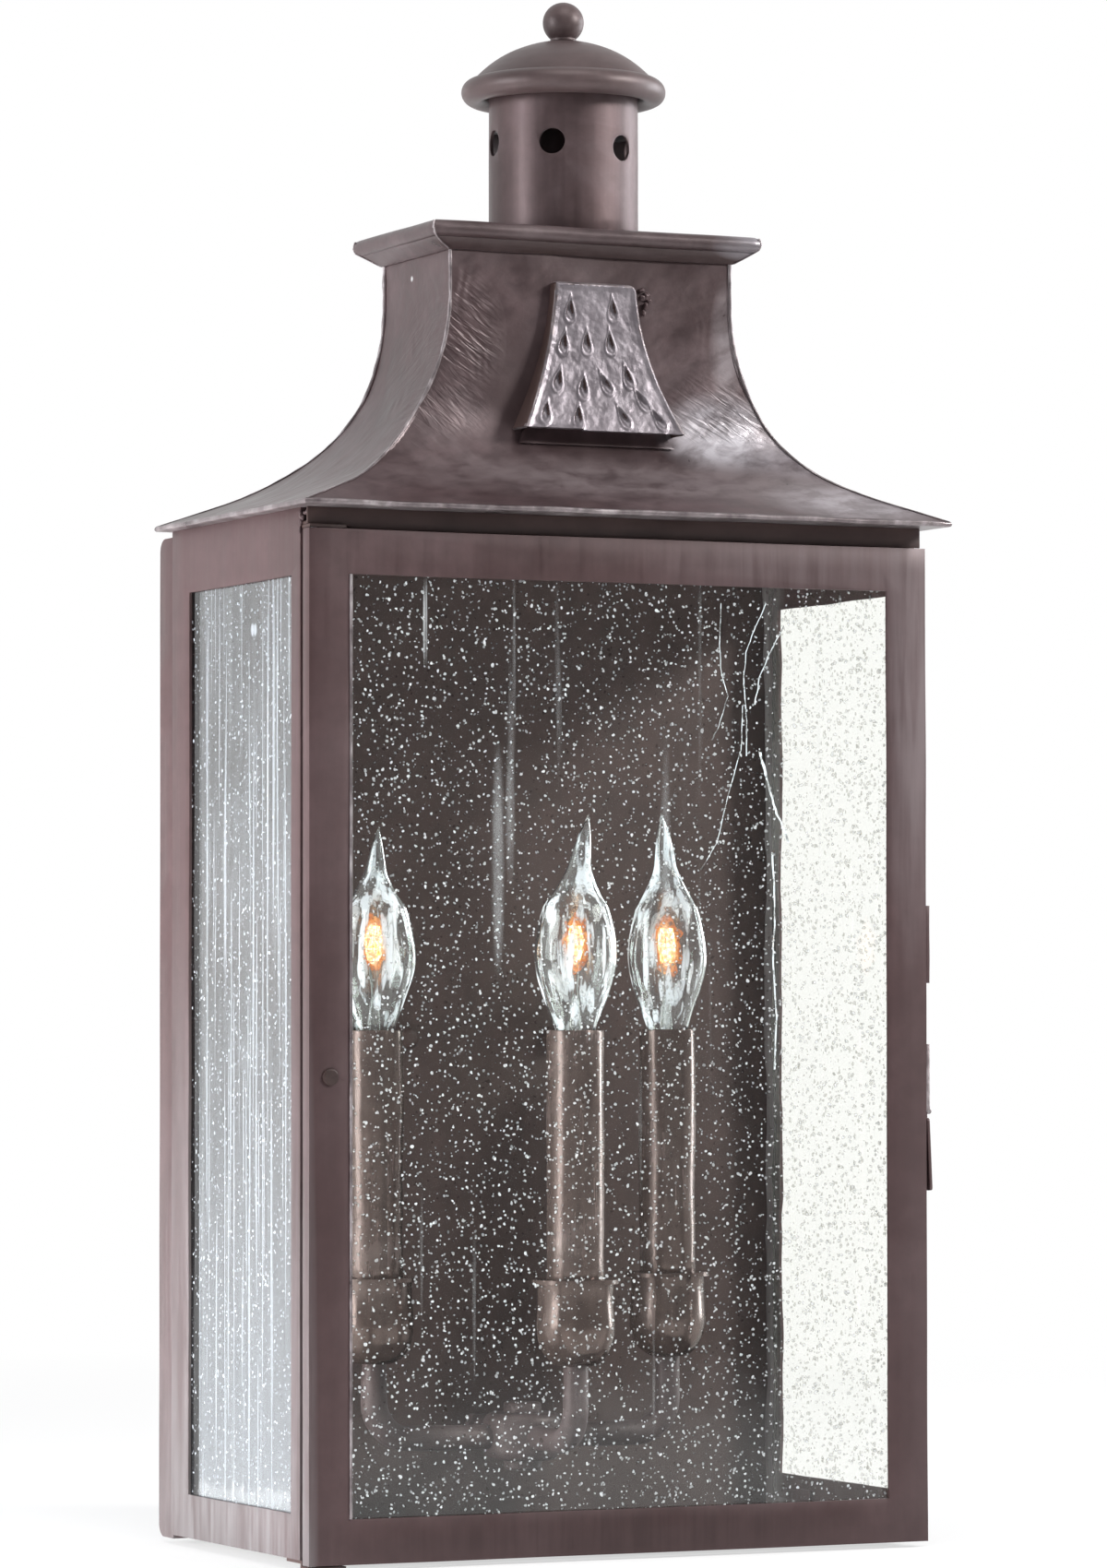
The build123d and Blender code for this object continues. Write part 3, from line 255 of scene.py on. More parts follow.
def backdropLight(mirrored):
    # how bright the backdrop is for rays from the camera, through glass and off metal
    path = addNode("LightPath", {})
    direct = mathNode("LESS_THAN", path["Glossy Depth"], 0.5)
    unlit = mathNode("LESS_THAN", path["Diffuse Depth"], 0.5)
    through = times(times(path["Is Transmission Ray"], direct), studio["throughGlass"])
    bounced = mathNode("SUBTRACT", path["Is Transmission Ray"], direct)
    bounced = larger(bounced, path["Is Glossy Ray"])
    seen = times(larger(through, times(bounced, mirrored)), unlit)
    return larger(seen, path["Is Camera Ray"])


def mirroredLight(place, dark, bright):
    # metal and glass mirror a dark room in front of the lantern and a pale one behind it
    ahead = addNode("SeparateXYZ", {0: place})[1]
    return backdropLight(mapRange(ahead, dark, bright, studio["frontShine"], 1.0))


# camera and studio
studio = {
    "cameraPlace": (-0.99719, -2.21664, 0.00873),
    "cameraForward": (0.42388, 0.90494, 0.03744),
    "cameraUp": (-0.01502, -0.03431, 0.99930),
    "focalPixels": 6703.6, "frameHeight": 1700, "sensor": 36.0, "clipEnd": 100,
    "worldLight": (0.94, 0.96, 1.0), "worldStrength": 0.40,
    "throughGlass": 1.28,        # panes take a little of the backdrop's light
    "frontShine": 0.16,          # the dark room in front of the lantern, as metal and glass mirror it
    "worldTurn": (-0.1, 0.4), "floorTurn": (-1.6, -0.7),        # where the mirrored room goes from dark to pale
    "floorSize": 60.0, "floorDrop": 0.0006, "floorTone": (0.86, 0.86, 0.86), "floorRough": 0.9,
    "floorNear": 0.35, "floorFar": 1.3, "floorNearShare": 0.62,
}
lamps = {
    # place, what it faces, width and height, watts, colour, whether metal and glass mirror it
    "keyBox": ((1.85, -1.6, 1.3), (0, -0.1, 0.12), (0.6, 0.6), 66, (1.0, 0.985, 0.97), True),
    "rightStrip": ((2.45, 0.2, 0.45), (0, -0.1, 0.1), (0.5, 1.5), 36, (0.93, 0.965, 1.0), True),
    "leftStrip": ((-2.5, -0.1, 0.45), (0, -0.08, 0.05), (1.0, 1.5), 36, (0.95, 0.975, 1.0), True),
    "lowCard": ((-0.55, 0.0, -0.12), (-0.127, -0.08, -0.15), (0.6, 0.12), 6.5, (1.0, 1.0, 1.0), False),
    "topBox": ((-0.2, -1.2, 2.4), (0, -0.08, 0.1), (1.6, 1.2), 24, (1.0, 0.99, 0.98), True),
}


def buildCamera():
    data = bpy.data.cameras.new("photoCamera")
    camera = bpy.data.objects.new("photoCamera", data)
    link(camera)
    forward = Vector(studio["cameraForward"]).normalized()
    right = forward.cross(Vector(studio["cameraUp"])).normalized()
    turn = Matrix((right, right.cross(forward), -forward)).transposed()
    camera.matrix_world = Matrix.Translation(studio["cameraPlace"]) @ turn.to_4x4()
    data.sensor_fit = "AUTO"
    data.sensor_width = studio["sensor"]
    data.lens = studio["sensor"] * studio["focalPixels"] / studio["frameHeight"]
    data.clip_end = studio["clipEnd"]
    bpy.context.scene.camera = camera


def addLamp(name, place, aim, size, watts, colour, mirrored):
    data = bpy.data.lights.new(name, "AREA")
    data.shape = "RECTANGLE"
    data.size, data.size_y = size
    data.energy = watts
    data.color = colour
    lamp = bpy.data.objects.new(name, data)
    link(lamp)
    lamp.location = place
    lamp.rotation_euler = (Vector(aim) - Vector(place)).to_track_quat("-Z", "Y").to_euler()
    lamp.visible_camera = False
    lamp.visible_glossy = mirrored


def buildWorld():
    world = bpy.data.worlds.new("studioWorld")
    world.use_nodes = True
    bpy.context.scene.world = world
    bench["tree"] = world.node_tree
    world.node_tree.nodes.clear()
    heading = addNode("TexCoord", {})["Generated"]
    seen = mirroredLight(heading, *studio["worldTurn"])
    lit = addNode("Background", {"Color": studio["worldLight"], "Strength": studio["worldStrength"]})[0]
    backdrop = addNode("Background", {"Color": (1, 1, 1), "Strength": seen})[0]
    both = mixShaders(mathNode("GREATER_THAN", seen, 0.0), lit, backdrop)
    addNode("OutputWorld", {"Surface": both})


def buildFloor():
    clearSelection()
    place = (0, 0, cadLow.z - studio["floorDrop"])
    bpy.ops.mesh.primitive_plane_add(size=studio["floorSize"], location=place)
    floor = bpy.context.object
    floor.name = "studioFloor"
    material, shader = newMaterial("studioFloor")
    setInputs(shader, {"Base Color": studio["floorTone"], "Roughness": studio["floorRough"],
                             "Specular IOR Level": 0.0})
    place = objectPoint()
    share = mapRange(lengthOf(place), studio["floorNear"], studio["floorFar"],
                     studio["floorNearShare"], 1.0)        # near the lantern the floor takes its shadow
    seen = mirroredLight(place, *studio["floorTurn"])
    glow = addNode("Emission", {"Strength": seen})[0]
    share = times(share, mathNode("GREATER_THAN", seen, 0.0))
    setSurface(mixShaders(share, shader.outputs[0], glow))
    floor.data.materials.append(material)


buildCamera()
buildWorld()
buildFloor()
for name, settings in lamps.items():
    addLamp(name, *settings)
print("studio built")


# dark bronze patina: cloudy patches and fine streaks; its spots are painted highlights and painted shade
# scales of patches and mottle, shares of mottle and streaks, metal and roughness, bumps of streaks and mottle;
# a spot is its middle, reach, colour and share, a wrinkle its middle, reach, lean and depth, all in mm
bronzeLooks = {
    "bronzeFlat": {
        "stops": ((0.28, (0.057, 0.031, 0.031)), (0.5, (0.072, 0.041, 0.042)), (0.74, (0.095, 0.059, 0.061))),
        "scales": (13, 150), "shares": (0.25, 0.2), "streakScale": (240, 240, 14),
        "metal": (0.25, 0.44), "bumps": (0.02, 0.04),
        # painted light and shade: left stile and lower right stile darker, upper right stile and top rail lighter,
        # bottom rail darker, left frame lighter low down, and a painted highlight on the right rear stile's inner face
        "spots": (((-121, -150, -60), (14, 30, 330), (0.042, 0.022, 0.023), 0.5),
                  ((121, -150, -120), (14, 30, 200), (0.052, 0.032, 0.033), 0.5),
                  ((121, -150, 130), (14, 30, 110), (0.16, 0.13, 0.135), 0.7),
                  ((90, -150, 178), (90, 20, 14), (0.12, 0.09, 0.093), 0.6),
                  ((0, -150, -182), (160, 20, 14), (0.030, 0.014, 0.014), 0.8),
                  ((-129, -78, -230), (7, 150, 330), (0.215, 0.21, 0.215), 0.7),
                  ((125.2, -24, 0), (1.3, 18, 420), (0.34, 0.33, 0.33), 1.0)),
    },
    # darker than the other sheets: partly a darker patina, partly painted shade of the eave above it
    "bronzeHeader": {
        "stops": ((0.3, (0.040, 0.022, 0.020)), (0.7, (0.064, 0.038, 0.035))),
        "scales": (20, 150), "shares": (0.2, 0.2), "streakScale": (16, 240, 240),
        "metal": (0.1, 0.55), "bumps": (0.03, 0.05),
    },
    # dark finish of the inside back and floor, also put on the cowl's side returns as painted shade
    "bronzeInnerAndShade": {
        "stops": ((0.3, (0.050, 0.026, 0.023)), (0.7, (0.076, 0.045, 0.041))),
        "scales": (20, 150), "shares": (0.2, 0.2), "streakScale": (160, 160, 16),
        "metal": (0.1, 0.6), "bumps": (0.03, 0.05),
    },
    "bronzeHood": {
        "stops": ((0.3, (0.050, 0.030, 0.031)), (0.48, (0.070, 0.044, 0.046)), (0.62, (0.098, 0.067, 0.070)),
                  (0.80, (0.17, 0.135, 0.14))),
        "scales": (17, 120), "shares": (0.35, 0.42), "streakScale": (60, 190, 130), "streakTurn": (0, 38, 0),
        "metal": (0.3, 0.38), "bumps": (0.12, 0.10),
        # painted shade under the tray and to the left of and below the cowl; painted highlights right of the cowl, on
        # the right hip and along the flare to its right end; two small painted glints
        "spots": (((0, -122, 303), (74, 40, 20), (0.042, 0.024, 0.023), 0.85),
                  ((-34, -122, 250), (22, 20, 26), (0.048, 0.029, 0.029), 0.6),
                  ((-2, -128, 222), (36, 16, 6), (0.050, 0.031, 0.031), 0.5),
                  ((54, -126, 228), (30, 16, 19), (0.46, 0.44, 0.47), 0.9),
                  ((84, -130, 219), (26, 16, 12), (0.32, 0.29, 0.31), 0.7),
                  ((57, -122, 262), (8, 14, 28), (0.26, 0.23, 0.24), 0.65),
                  ((31, -134, 222), (3.2, 5, 3), (0.75, 0.73, 0.72), 0.9),
                  ((16, -140, 209), (130, 26, 13), (0.18, 0.145, 0.148), 0.85),
                  ((100, -150, 203), (44, 30, 11), (0.36, 0.33, 0.35), 0.85),
                  ((-58.4, -86, 287), (1.5, 1.3, 1.3), (0.85, 0.85, 0.85), 1.0)),
        "wrinkles": (((-52, -122, 262), (17, 30, 26), (0, -35, 0), 0.7),
                     ((-62, -128, 232), (22, 30, 20), (0, -42, 0), 0.5),
                     ((54, -124, 232), (34, 30, 22), (0, -30, 0), 0.5),
                     ((-60, -95, 255), (14, 26, 34), (35, 0, 0), 0.35)),
    },
    "bronzeTray": {
        "stops": ((0.3, (0.056, 0.037, 0.038)), (0.5, (0.080, 0.056, 0.058)), (0.75, (0.12, 0.09, 0.093))),
        "scales": (24, 200), "shares": (0.35, 0.3), "streakScale": (30, 190, 190),
        "metal": (0.3, 0.38), "bumps": (0.08, 0.10),
        # painted shade under the tray's nose and a painted highlight on its right end
        "spots": (((0, -124, 296), (100, 9, 5.5), (0.036, 0.020, 0.018), 0.9),
                  ((66, -126, 301), (20, 12, 6), (0.36, 0.34, 0.37), 0.85)),
    },
    "bronzeTurned": {
        "stops": ((0.3, (0.062, 0.040, 0.040)), (0.52, (0.088, 0.060, 0.060)), (0.75, (0.13, 0.098, 0.10))),
        "scales": (22, 160), "shares": (0.25, 0.22), "streakScale": (24, 24, 260),
        "metal": (0.25, 0.46), "bumps": (0.02, 0.05),
    },
    "bronzeTube": {
        "stops": ((0.3, (0.074, 0.046, 0.046)), (0.52, (0.100, 0.067, 0.069)), (0.75, (0.15, 0.112, 0.116))),
        "scales": (22, 180), "shares": (0.25, 0.25), "streakScale": (230, 230, 12),
        "metal": (0.50, 0.45), "bumps": (0.02, 0.05),
    },
    "bronzeHammered": {
        "stops": ((0.3, (0.130, 0.113, 0.126)), (0.5, (0.170, 0.150, 0.165)), (0.72, (0.23, 0.207, 0.225))),
        "scales": (60, 420), "shares": (0.30, 0.15), "streakScale": (120, 120, 60),
        "metal": (0.5, 0.36), "bumps": (0.04, 0.16),
    },
    "bronzeWorn": {
        "stops": ((0.3, (0.10, 0.078, 0.082)), (0.52, (0.20, 0.17, 0.175)), (0.72, (0.40, 0.36, 0.37))),
        "scales": (70, 260), "shares": (0.4, 0.3), "streakScale": (130, 130, 130),
        "metal": (0.5, 0.36), "bumps": (0.05, 0.10),
    },
    "bronzeSleeve": {
        "stops": ((0.3, (0.125, 0.085, 0.076)), (0.55, (0.165, 0.118, 0.108)), (0.8, (0.23, 0.175, 0.165))),
        "scales": (30, 200), "shares": (0.3, 0.3), "streakScale": (300, 300, 18),
        "metal": (0.60, 0.23), "bumps": (0.01, 0.015),
    },
    "bronzeRivet": {
        "stops": ((0.3, (0.020, 0.009, 0.008)), (0.7, (0.036, 0.018, 0.016))),
        "scales": (200, 500), "shares": (0.3, 0.2), "streakScale": (300, 300, 300),
        "metal": (0.1, 0.5), "bumps": (0.05, 0.08),
    },
}


def bronzeMaterial(name, look):
    material, shader = newMaterial(name)
    plain = objectPoint()
    streaked = objectPoint(look["streakScale"], look.get("streakTurn", (0, 0, 0)))
    patchScale, mottleScale = look["scales"]
    patches = noiseNode(plain, patchScale, 5, 0.6, 0.6)
    mottle = noiseNode(plain, mottleScale, 4, 0.6)
    streaks = noiseNode(streaked, 1.0, 4, 0.6, 0.3)
    colour = ramp(patches, look["stops"])
    for share, pattern, low, high in zip(look["shares"], (mottle, streaks), (0.33, 0.29), (0.71, 0.73)):
        tone = ramp(pattern, ((0.31, (low, low, low)), (0.69, (high, high, high))))
        colour = mixColour(share, colour, tone, "OVERLAY")
    ragged = mapRange(streaks, 0.36, 0.62, 0.4, 1.0)
    # painted highlights and painted shade, broken up by the streaks
    for centre, reach, tone, amount in look.get("spots", ()):
        mask = times(times(spotMask(centre, reach), ragged), amount)
        colour = mixColour(mask, colour, tone)
    metallic, rough = look["metal"]
    rough = mapRange(patches, 0.3, 0.7, rough - 0.07, rough + 0.07)
    rough = mathNode("ADD", rough, mapRange(streaks, 0.3, 0.7, -0.06, 0.06))
    setInputs(shader, {"Base Color": colour, "Metallic": metallic, "Roughness": rough})
    streakBump, mottleBump = look["bumps"]
    height = mathNode("ADD", times(streaks, streakBump), times(mottle, mottleBump))
    for centre, reach, turn, deep in look.get("wrinkles", ()):
        crease = noiseNode(objectPoint((85, 85, 430), turn), 1.0, 2, 0.5, 0.6)
        crease = times(crease, spotMask(centre, reach, 0.2))
        height = mathNode("ADD", height, times(crease, deep))
    addBump(shader, height, mm)
    return material


def metalMaterial(name, dark, light, metallic, rough, grain):
    material, shader = newMaterial(name)
    fine = noiseNode(objectPoint(grain), 1.0, 4, 0.6)
    cloud = noiseNode(objectPoint(), 90, 4, 0.6)
    setInputs(shader, {"Base Color": ramp(cloud, ((0.3, dark), (0.7, light))), "Metallic": metallic,
                             "Roughness": mapRange(fine, 0.3, 0.7, rough - 0.06, rough + 0.08)})
    addBump(shader, fine, 0.05 * mm)
    return material


# hand-made glass: clear and rippled, with seeds, drawn lines, smears and a pale veil
# seeds are scale, reach and share of the cells that hold one; a mark is its middle, reach and share, in mm
glassUsual = {"rough": 0.0, "index": 1.46, "seeds": (), "seed": 0.0}
glassLooks = {
    "doorGlass": {
        "tint": (0.965, 0.98, 0.965), "ripple": ((44, 520, 26), 0.20),
        "seeds": ((360, 0.21, 0.42), (560, 0.26, 0.46), (210, 0.13, 0.36)), "seed": 0.85,
        "lines": ((200, 200, 5), 0.70, 0.10), "haze": 0.002, "milk": (0.86, 0.88, 0.90),
        "marks": (((-80, -147, 153), (0.5, 12, 18), 0.6), ((-50.7, -147, 66), (2.6, 12, 46), 0.14),
                  ((-46, -147, 84), (1.4, 12, 30), 0.12), ((18, -147, 60), (2.2, 12, 60), 0.08)),
    },
    "leftGlass": {
        "tint": (0.93, 0.96, 0.965), "ripple": ((520, 150, 12), 0.25),
        "seeds": ((360, 0.22, 0.5), (560, 0.28, 0.5), (210, 0.13, 0.4)), "seed": 1.0,
        "lines": ((420, 420, 5), 0.60, 0.40), "haze": 0.06, "milk": (0.60, 0.635, 0.69),
        "veil": (80, -190, 0.16), "marks": (((-126, -93, 152), (12, 2.2, 3.2), 0.9),),
        "shade": ((-126, -34.5, 0), (12, 6.8, 4000)),
    },
    "rightGlass": {
        "tint": (1.0, 1.0, 0.975), "ripple": ((520, 44, 22), 0.10),
        "seeds": ((300, 0.18, 0.18), (520, 0.20, 0.20), (170, 0.11, 0.14)), "seed": 0.1,
        "lines": ((160, 160, 7), 0.66, 0.12), "haze": 0.004, "milk": (0.86, 0.88, 0.80),
    },
    "bulbGlass": {
        "tint": (0.985, 0.985, 0.985), "index": 1.47, "ripple": ((150, 150, 45), 0.55),
        "lines": ((230, 230, 26), 0.56, 0.75), "haze": 0.02, "milk": (0.88, 0.91, 0.97),
    },
    "threadGlass": {
        "tint": (0.95, 0.97, 0.97), "rough": 0.05, "ripple": ((200, 200, 200), 0.1),
        "lines": ((300, 300, 300), 0.42, 0.7), "haze": 0.15, "milk": (0.85, 0.90, 0.93),
    },
    "pressGlass": {
        "tint": (0.95, 0.96, 0.95), "rough": 0.08, "index": 1.5, "ripple": ((300, 300, 100), 0.3),
        "lines": ((300, 300, 60), 0.55, 0.3), "haze": 0.15, "milk": (0.85, 0.85, 0.85),
    },
}
glassEdge = {"ring": (0.48, 0.48, 0.44), "shade": (0.02, 0.015, 0.015), "clear": (0.93, 0.95, 0.94)}
seedShape = {"driftScale": 480, "drift": 1.6 * mm, "swell": 1.6, "smallest": 0.62, "core": 0.72, "dimmest": 0.25}


def paleVeil(plain, top, foot, share):
    # a pale veil that thickens downwards, in mm, with a wavy upper edge
    wave = times(noiseNode(plain, 9, 3, 0.5), 45 * mm)
    height = addNode("SeparateXYZ", {0: plain})[2]
    level = mathNode("ADD", height, mathNode("SUBTRACT", wave, 22 * mm))
    return mapRange(level, top * mm, foot * mm, 0.0, share)


def seedBubbles(plain, look, white):
    # each bubble is painted: a bright core, its painted glint, in a darker ring, its painted shade
    drift = addNode("TexNoise", {"Vector": plain, "Scale": seedShape["driftScale"]})["Color"]
    place = addNode("VectorMath", {0: drift, 1: (seedShape["drift"],) * 3, 2: plain},
                    operation="MULTIPLY_ADD")["Vector"]
    ring = None
    for scale, reach, share in look["seeds"]:
        cell = addNode("TexVoronoi", {"Vector": place, "Scale": scale})
        keep, size, shine = addNode("SeparateColor", {0: cell["Color"]})
        kept = mathNode("LESS_THAN", keep, share)
        swell = mathNode("ADD", mathNode("POWER", size, seedShape["swell"]), seedShape["smallest"])
        grown = times(swell, reach)
        whole = times(mathNode("LESS_THAN", cell["Distance"], grown), kept)
        core = mathNode("LESS_THAN", cell["Distance"], times(grown, seedShape["core"]))
        bright = mapRange(shine, 0.0, 1.0, seedShape["dimmest"] * look["seed"], look["seed"])
        white = larger(white, times(core, times(kept, bright)))
        ring = whole if ring is None else larger(ring, whole)
    return white, ring


def glassMaterial(name, look):
    look = {**glassUsual, **look}
    material, shader = newMaterial(name)
    setInputs(shader, {"Transmission Weight": 1.0, "Roughness": look["rough"], "IOR": look["index"]})
    plain = objectPoint()
    rippleScale, rippleDepth = look["ripple"]
    ripple = noiseNode(objectPoint(rippleScale), 1.0, 1, 0.5, 0.4)
    addBump(shader, times(ripple, rippleDepth), mm)
    lineScale, lineFrom, lineShare = look["lines"]
    lines = noiseNode(objectPoint(lineScale), 1.0, 2, 0.5)
    white = mapRange(lines, lineFrom, lineFrom + 0.06, 0.0, lineShare)
    cloud = noiseNode(plain, 26, 4, 0.6)
    white = larger(white, mapRange(cloud, 0.35, 0.75, look["haze"] * 0.5, look["haze"] * 1.5))
    if "veil" in look:
        white = larger(white, paleVeil(plain, *look["veil"]))
    for centre, reach, amount in look.get("marks", ()):
        mark = times(spotMask(centre, reach, 0.5), amount)
        white = larger(white, times(mark, mapRange(ripple, 0.3, 0.6, 0.4, 1.0)))
    tint = look["tint"]
    if "shade" in look:        # painted shade: a dark line along the pane's rear edge, standing for the shadowed frame edge behind it
        shade = spotMask(*look["shade"], 0.8)
        tint = mixColour(shade, tint, glassEdge["shade"])
        white = times(white, mapRange(shade, 0.0, 1.0, 1.0, 0.1))
    if look["seeds"]:
        white, ring = seedBubbles(plain, look, white)
        tint = mixColour(ring, tint, glassEdge["ring"])
    setInputs(shader, {"Base Color": tint})
    front = addNode("BsdfDiffuse", {"Color": look["milk"]})[0]
    through = addNode("BsdfTranslucent", {"Color": look["milk"]})[0]
    body = mixShaders(white, shader.outputs[0], mixShaders(0.5, front, through))
    path = addNode("LightPath", {})        # lamps shine through the glass, also on what gleams
    clear = addNode("BsdfTransparent", {"Color": glassEdge["clear"]})[0]
    for ray in ("Is Reflection Ray", "Is Shadow Ray"):
        body = mixShaders(path[ray], body, clear)
    setSurface(body)
    return material


def litMaterial(name, cool, hot, strength):
    material, shader = newMaterial(name)
    spots = noiseNode(objectPoint(), 420, 2, 0.5)
    glow = ramp(spots, ((0.38, cool), (0.60, hot)))
    setInputs(shader, {"Emission Color": glow, "Base Color": glow, "Emission Strength": strength})
    return material


def glowMaterial(name, tone, strength, share):
    # painted glow: soft shells beside the hot wire that stand in for its halo; they are no part of the bulb
    material, _ = newMaterial(name)
    glow = addNode("Emission", {"Color": tone, "Strength": strength})[0]
    clear = addNode("BsdfTransparent", {})[0]
    spots = noiseNode(objectPoint(), 620, 2, 0.6)
    part = mapRange(spots, 0.44, 0.56, share * 0.1, share)
    setSurface(mixShaders(part, clear, glow))
    return material


materials = {name: bronzeMaterial(name, look) for name, look in bronzeLooks.items()}
materials.update({name: glassMaterial(name, look) for name, look in glassLooks.items()})
materials["litWire"] = litMaterial("litWire", (1.0, 0.34, 0.07), (1.0, 0.78, 0.46), 6.0)
glows = {
    # colour, strength, share of the shell that glows, reach in mm
    "glowOuter": ((1.0, 0.27, 0.05), 1.0, 0.50, (5.0, 5.0, 10.0)),
    "glowMiddle": ((1.0, 0.46, 0.15), 1.3, 0.65, (4.0, 4.0, 8.2)),
    "glowInner": ((1.0, 0.85, 0.60), 2.4, 0.85, (3.1, 3.1, 6.6)),
}
for name, (tone, strength, share, size) in glows.items():
    materials[name] = glowMaterial(name, tone, strength, share)
plainMetals = {
    # dark and light tone, how metallic, roughness, grain
    "brassShell": ((0.50, 0.36, 0.16), (0.70, 0.54, 0.27), 1.0, 0.28, (200, 200, 30)),
    "phenolic": ((0.020, 0.019, 0.018), (0.042, 0.039, 0.037), 0.0, 0.5, (300, 300, 300)),
    "zincSteel": ((0.42, 0.43, 0.45), (0.62, 0.62, 0.60), 1.0, 0.36, (200, 200, 30)),
}
for name, settings in plainMetals.items():
    materials[name] = metalMaterial(name, *settings)
print("materials:", len(materials))


def solidCopy(node):
    # a merged copy of a CAD solid, with whole faces instead of loose triangles
    clearSelection()
    piece = bpy.data.objects.new(node + "Copy", frame["nodes"][node].data.copy())
    link(piece)
    activate(piece)
    if piece.data.has_custom_normals:
        bpy.ops.mesh.customdata_custom_splitnormals_clear()
    editAll(piece)
    bpy.ops.mesh.remove_doubles(threshold=0.002 * mm)
    bpy.ops.mesh.dissolve_limited(angle_limit=radians(0.4), use_dissolve_boundaries=False)
    setMode("OBJECT")
    return piece


def bisectAt(piece, points, normal):
    activate(piece)
    setMode("EDIT")
    for point in points:
        bpy.ops.mesh.select_all(action="SELECT")
        bpy.ops.mesh.bisect(plane_co=point, plane_no=normal)
    setMode("OBJECT")


def cutAcross(piece, axis, step):
    # even slices, so that the piece can be bent between them
    coords = [v.co[axis] for v in piece.data.vertices]
    low, high = min(coords), max(coords)
    count = int((high - low) / step)
    unit = Vector([float(i == axis) for i in range(3)])
    bisectAt(piece, [unit * (low + (high - low) * i / count + 0.03 * mm) for i in range(1, count)], unit)


def softenEdges(piece, width):
    bevel = piece.modifiers.new("softEdges", "BEVEL")
    bevel.width = width
    bevel.segments = 2
    bevel.limit_method = "ANGLE"
    bevel.angle_limit = radians(30)
    bevel.use_clamp_overlap = True
    bevel.material = 1        # the worn finish of the edges
    applyModifiers(piece)


def thicken(piece, thickness):
    sheet = piece.modifiers.new("sheet", "SOLIDIFY")
    sheet.thickness = thickness
    sheet.offset = -1
    applyModifiers(piece)


def insideBox(point):
    return Vector([min(max(p, low), high) for p, low, high in zip(point, cadLow, cadHigh)])


def ruffle(piece, amount, size):
    # hand-worked sheet is never quite flat; pieces that touch lean the same way
    for vertex in piece.data.vertices:
        place = Vector((vertex.co.x + 3.0, vertex.co.y - 3.0, vertex.co.z + 6.0)) / size
        vertex.co = insideBox(vertex.co + noise.noise_vector(place) * amount)
    piece.data.update()


hands = ("left", "front", "right")
foldedPieces = {
    # node: cut steps along x, y, z in mm (0 leaves that way whole), edge radius, unevenness, its size, finish
    "door_frame": ((9, 0, 9), 0.6, 0.22, 60, "bronzeFlat"),
    "left_side_frame": ((0, 12, 10), 0.5, 0.2, 60, "bronzeFlat"),
    "right_side_frame": ((0, 12, 10), 0.5, 0.2, 60, "bronzeFlat"),
    "front_header": ((10, 0, 0), 0.35, 0.2, 60, "bronzeHeader"),
    "eave_ring": ((6, 6, 0), 0.5, 0.3, 24, "bronzeWorn"),
    "wall_pan": ((14, 0, 14), 0.5, 0.2, 60, "bronzeFlat"),
    "back_panel": ((16, 0, 16), 0.2, 0.3, 80, "bronzeInnerAndShade"),
    "floor_sheet": ((16, 0, 0), 0.2, 0.2, 80, "bronzeInnerAndShade"),
    "hinge_brackets": ((0, 0, 0), 0.25, 0.0, 40, "bronzeHeader"),
    "latch_keeper": ((0, 0, 4), 0.35, 0.12, 14, "bronzeFlat"),
    "latch_plate": ((0, 0, 0), 0.2, 0.0, 14, "bronzeWorn"),
    "latch_tab": ((0, 0, 0), 0.3, 0.0, 14, "bronzeFlat"),
    "vent_backing": ((4, 0, 4), 0.25, 0.1, 9, "bronzeHood"),
    "top_tray": ((4, 4, 0), 0.4, 0.25, 28, "bronzeTray"),
    "chimney_tube": ((0, 0, 5), 0.45, 0.14, 26, "bronzeTube"),
    "dome_cap": ((0, 0, 0), 0.0, 0.22, 22, "bronzeTurned"),
    "finial": ((0, 0, 0), 0.15, 0.05, 8, "bronzeTurned"),
    **{f"candle_sleeve_{hand}": ((0, 0, 4), 0.3, 0.12, 9, "bronzeSleeve") for hand in hands},
    "mounting_crossbar": ((0, 0, 0), 0.3, 0.0, 14, "zincSteel"),
}
door = {"halfWidth": 127 * mm, "foot": -190 * mm, "top": 186 * mm, "rail": 16.5 * mm}
header = {"lipDrop": 1.2 * mm, "lipTop": 189 * mm, "front": -145.5 * mm, "bracketEnd": -111.5 * mm}

for node, (steps, edge, wave, size, finish) in foldedPieces.items():
    piece = solidCopy(node)
    for axis, step in enumerate(steps):
        if step:
            cutAcross(piece, axis, step * mm)
    if edge:
        softenEdges(piece, edge * mm)
    if node == "front_header":       # its lip comes down to the door
        for vertex in piece.data.vertices:
            x, y, z = vertex.co
            if y < header["front"] and z < header["lipTop"] and x > header["bracketEnd"]:
                vertex.co.z -= header["lipDrop"]
    if wave:
        ruffle(piece, wave * mm, size * mm)
    edgeFinish = finish if finish == "zincSteel" else "bronzeWorn"
    indices = [face.material_index for face in piece.data.polygons]
    dressNode(piece, node, node + "Folded", [finish, edgeFinish])
    for face, index in zip(piece.data.polygons, indices):
        face.material_index = index
    smooth(piece)
print("folded pieces:", len(foldedPieces))


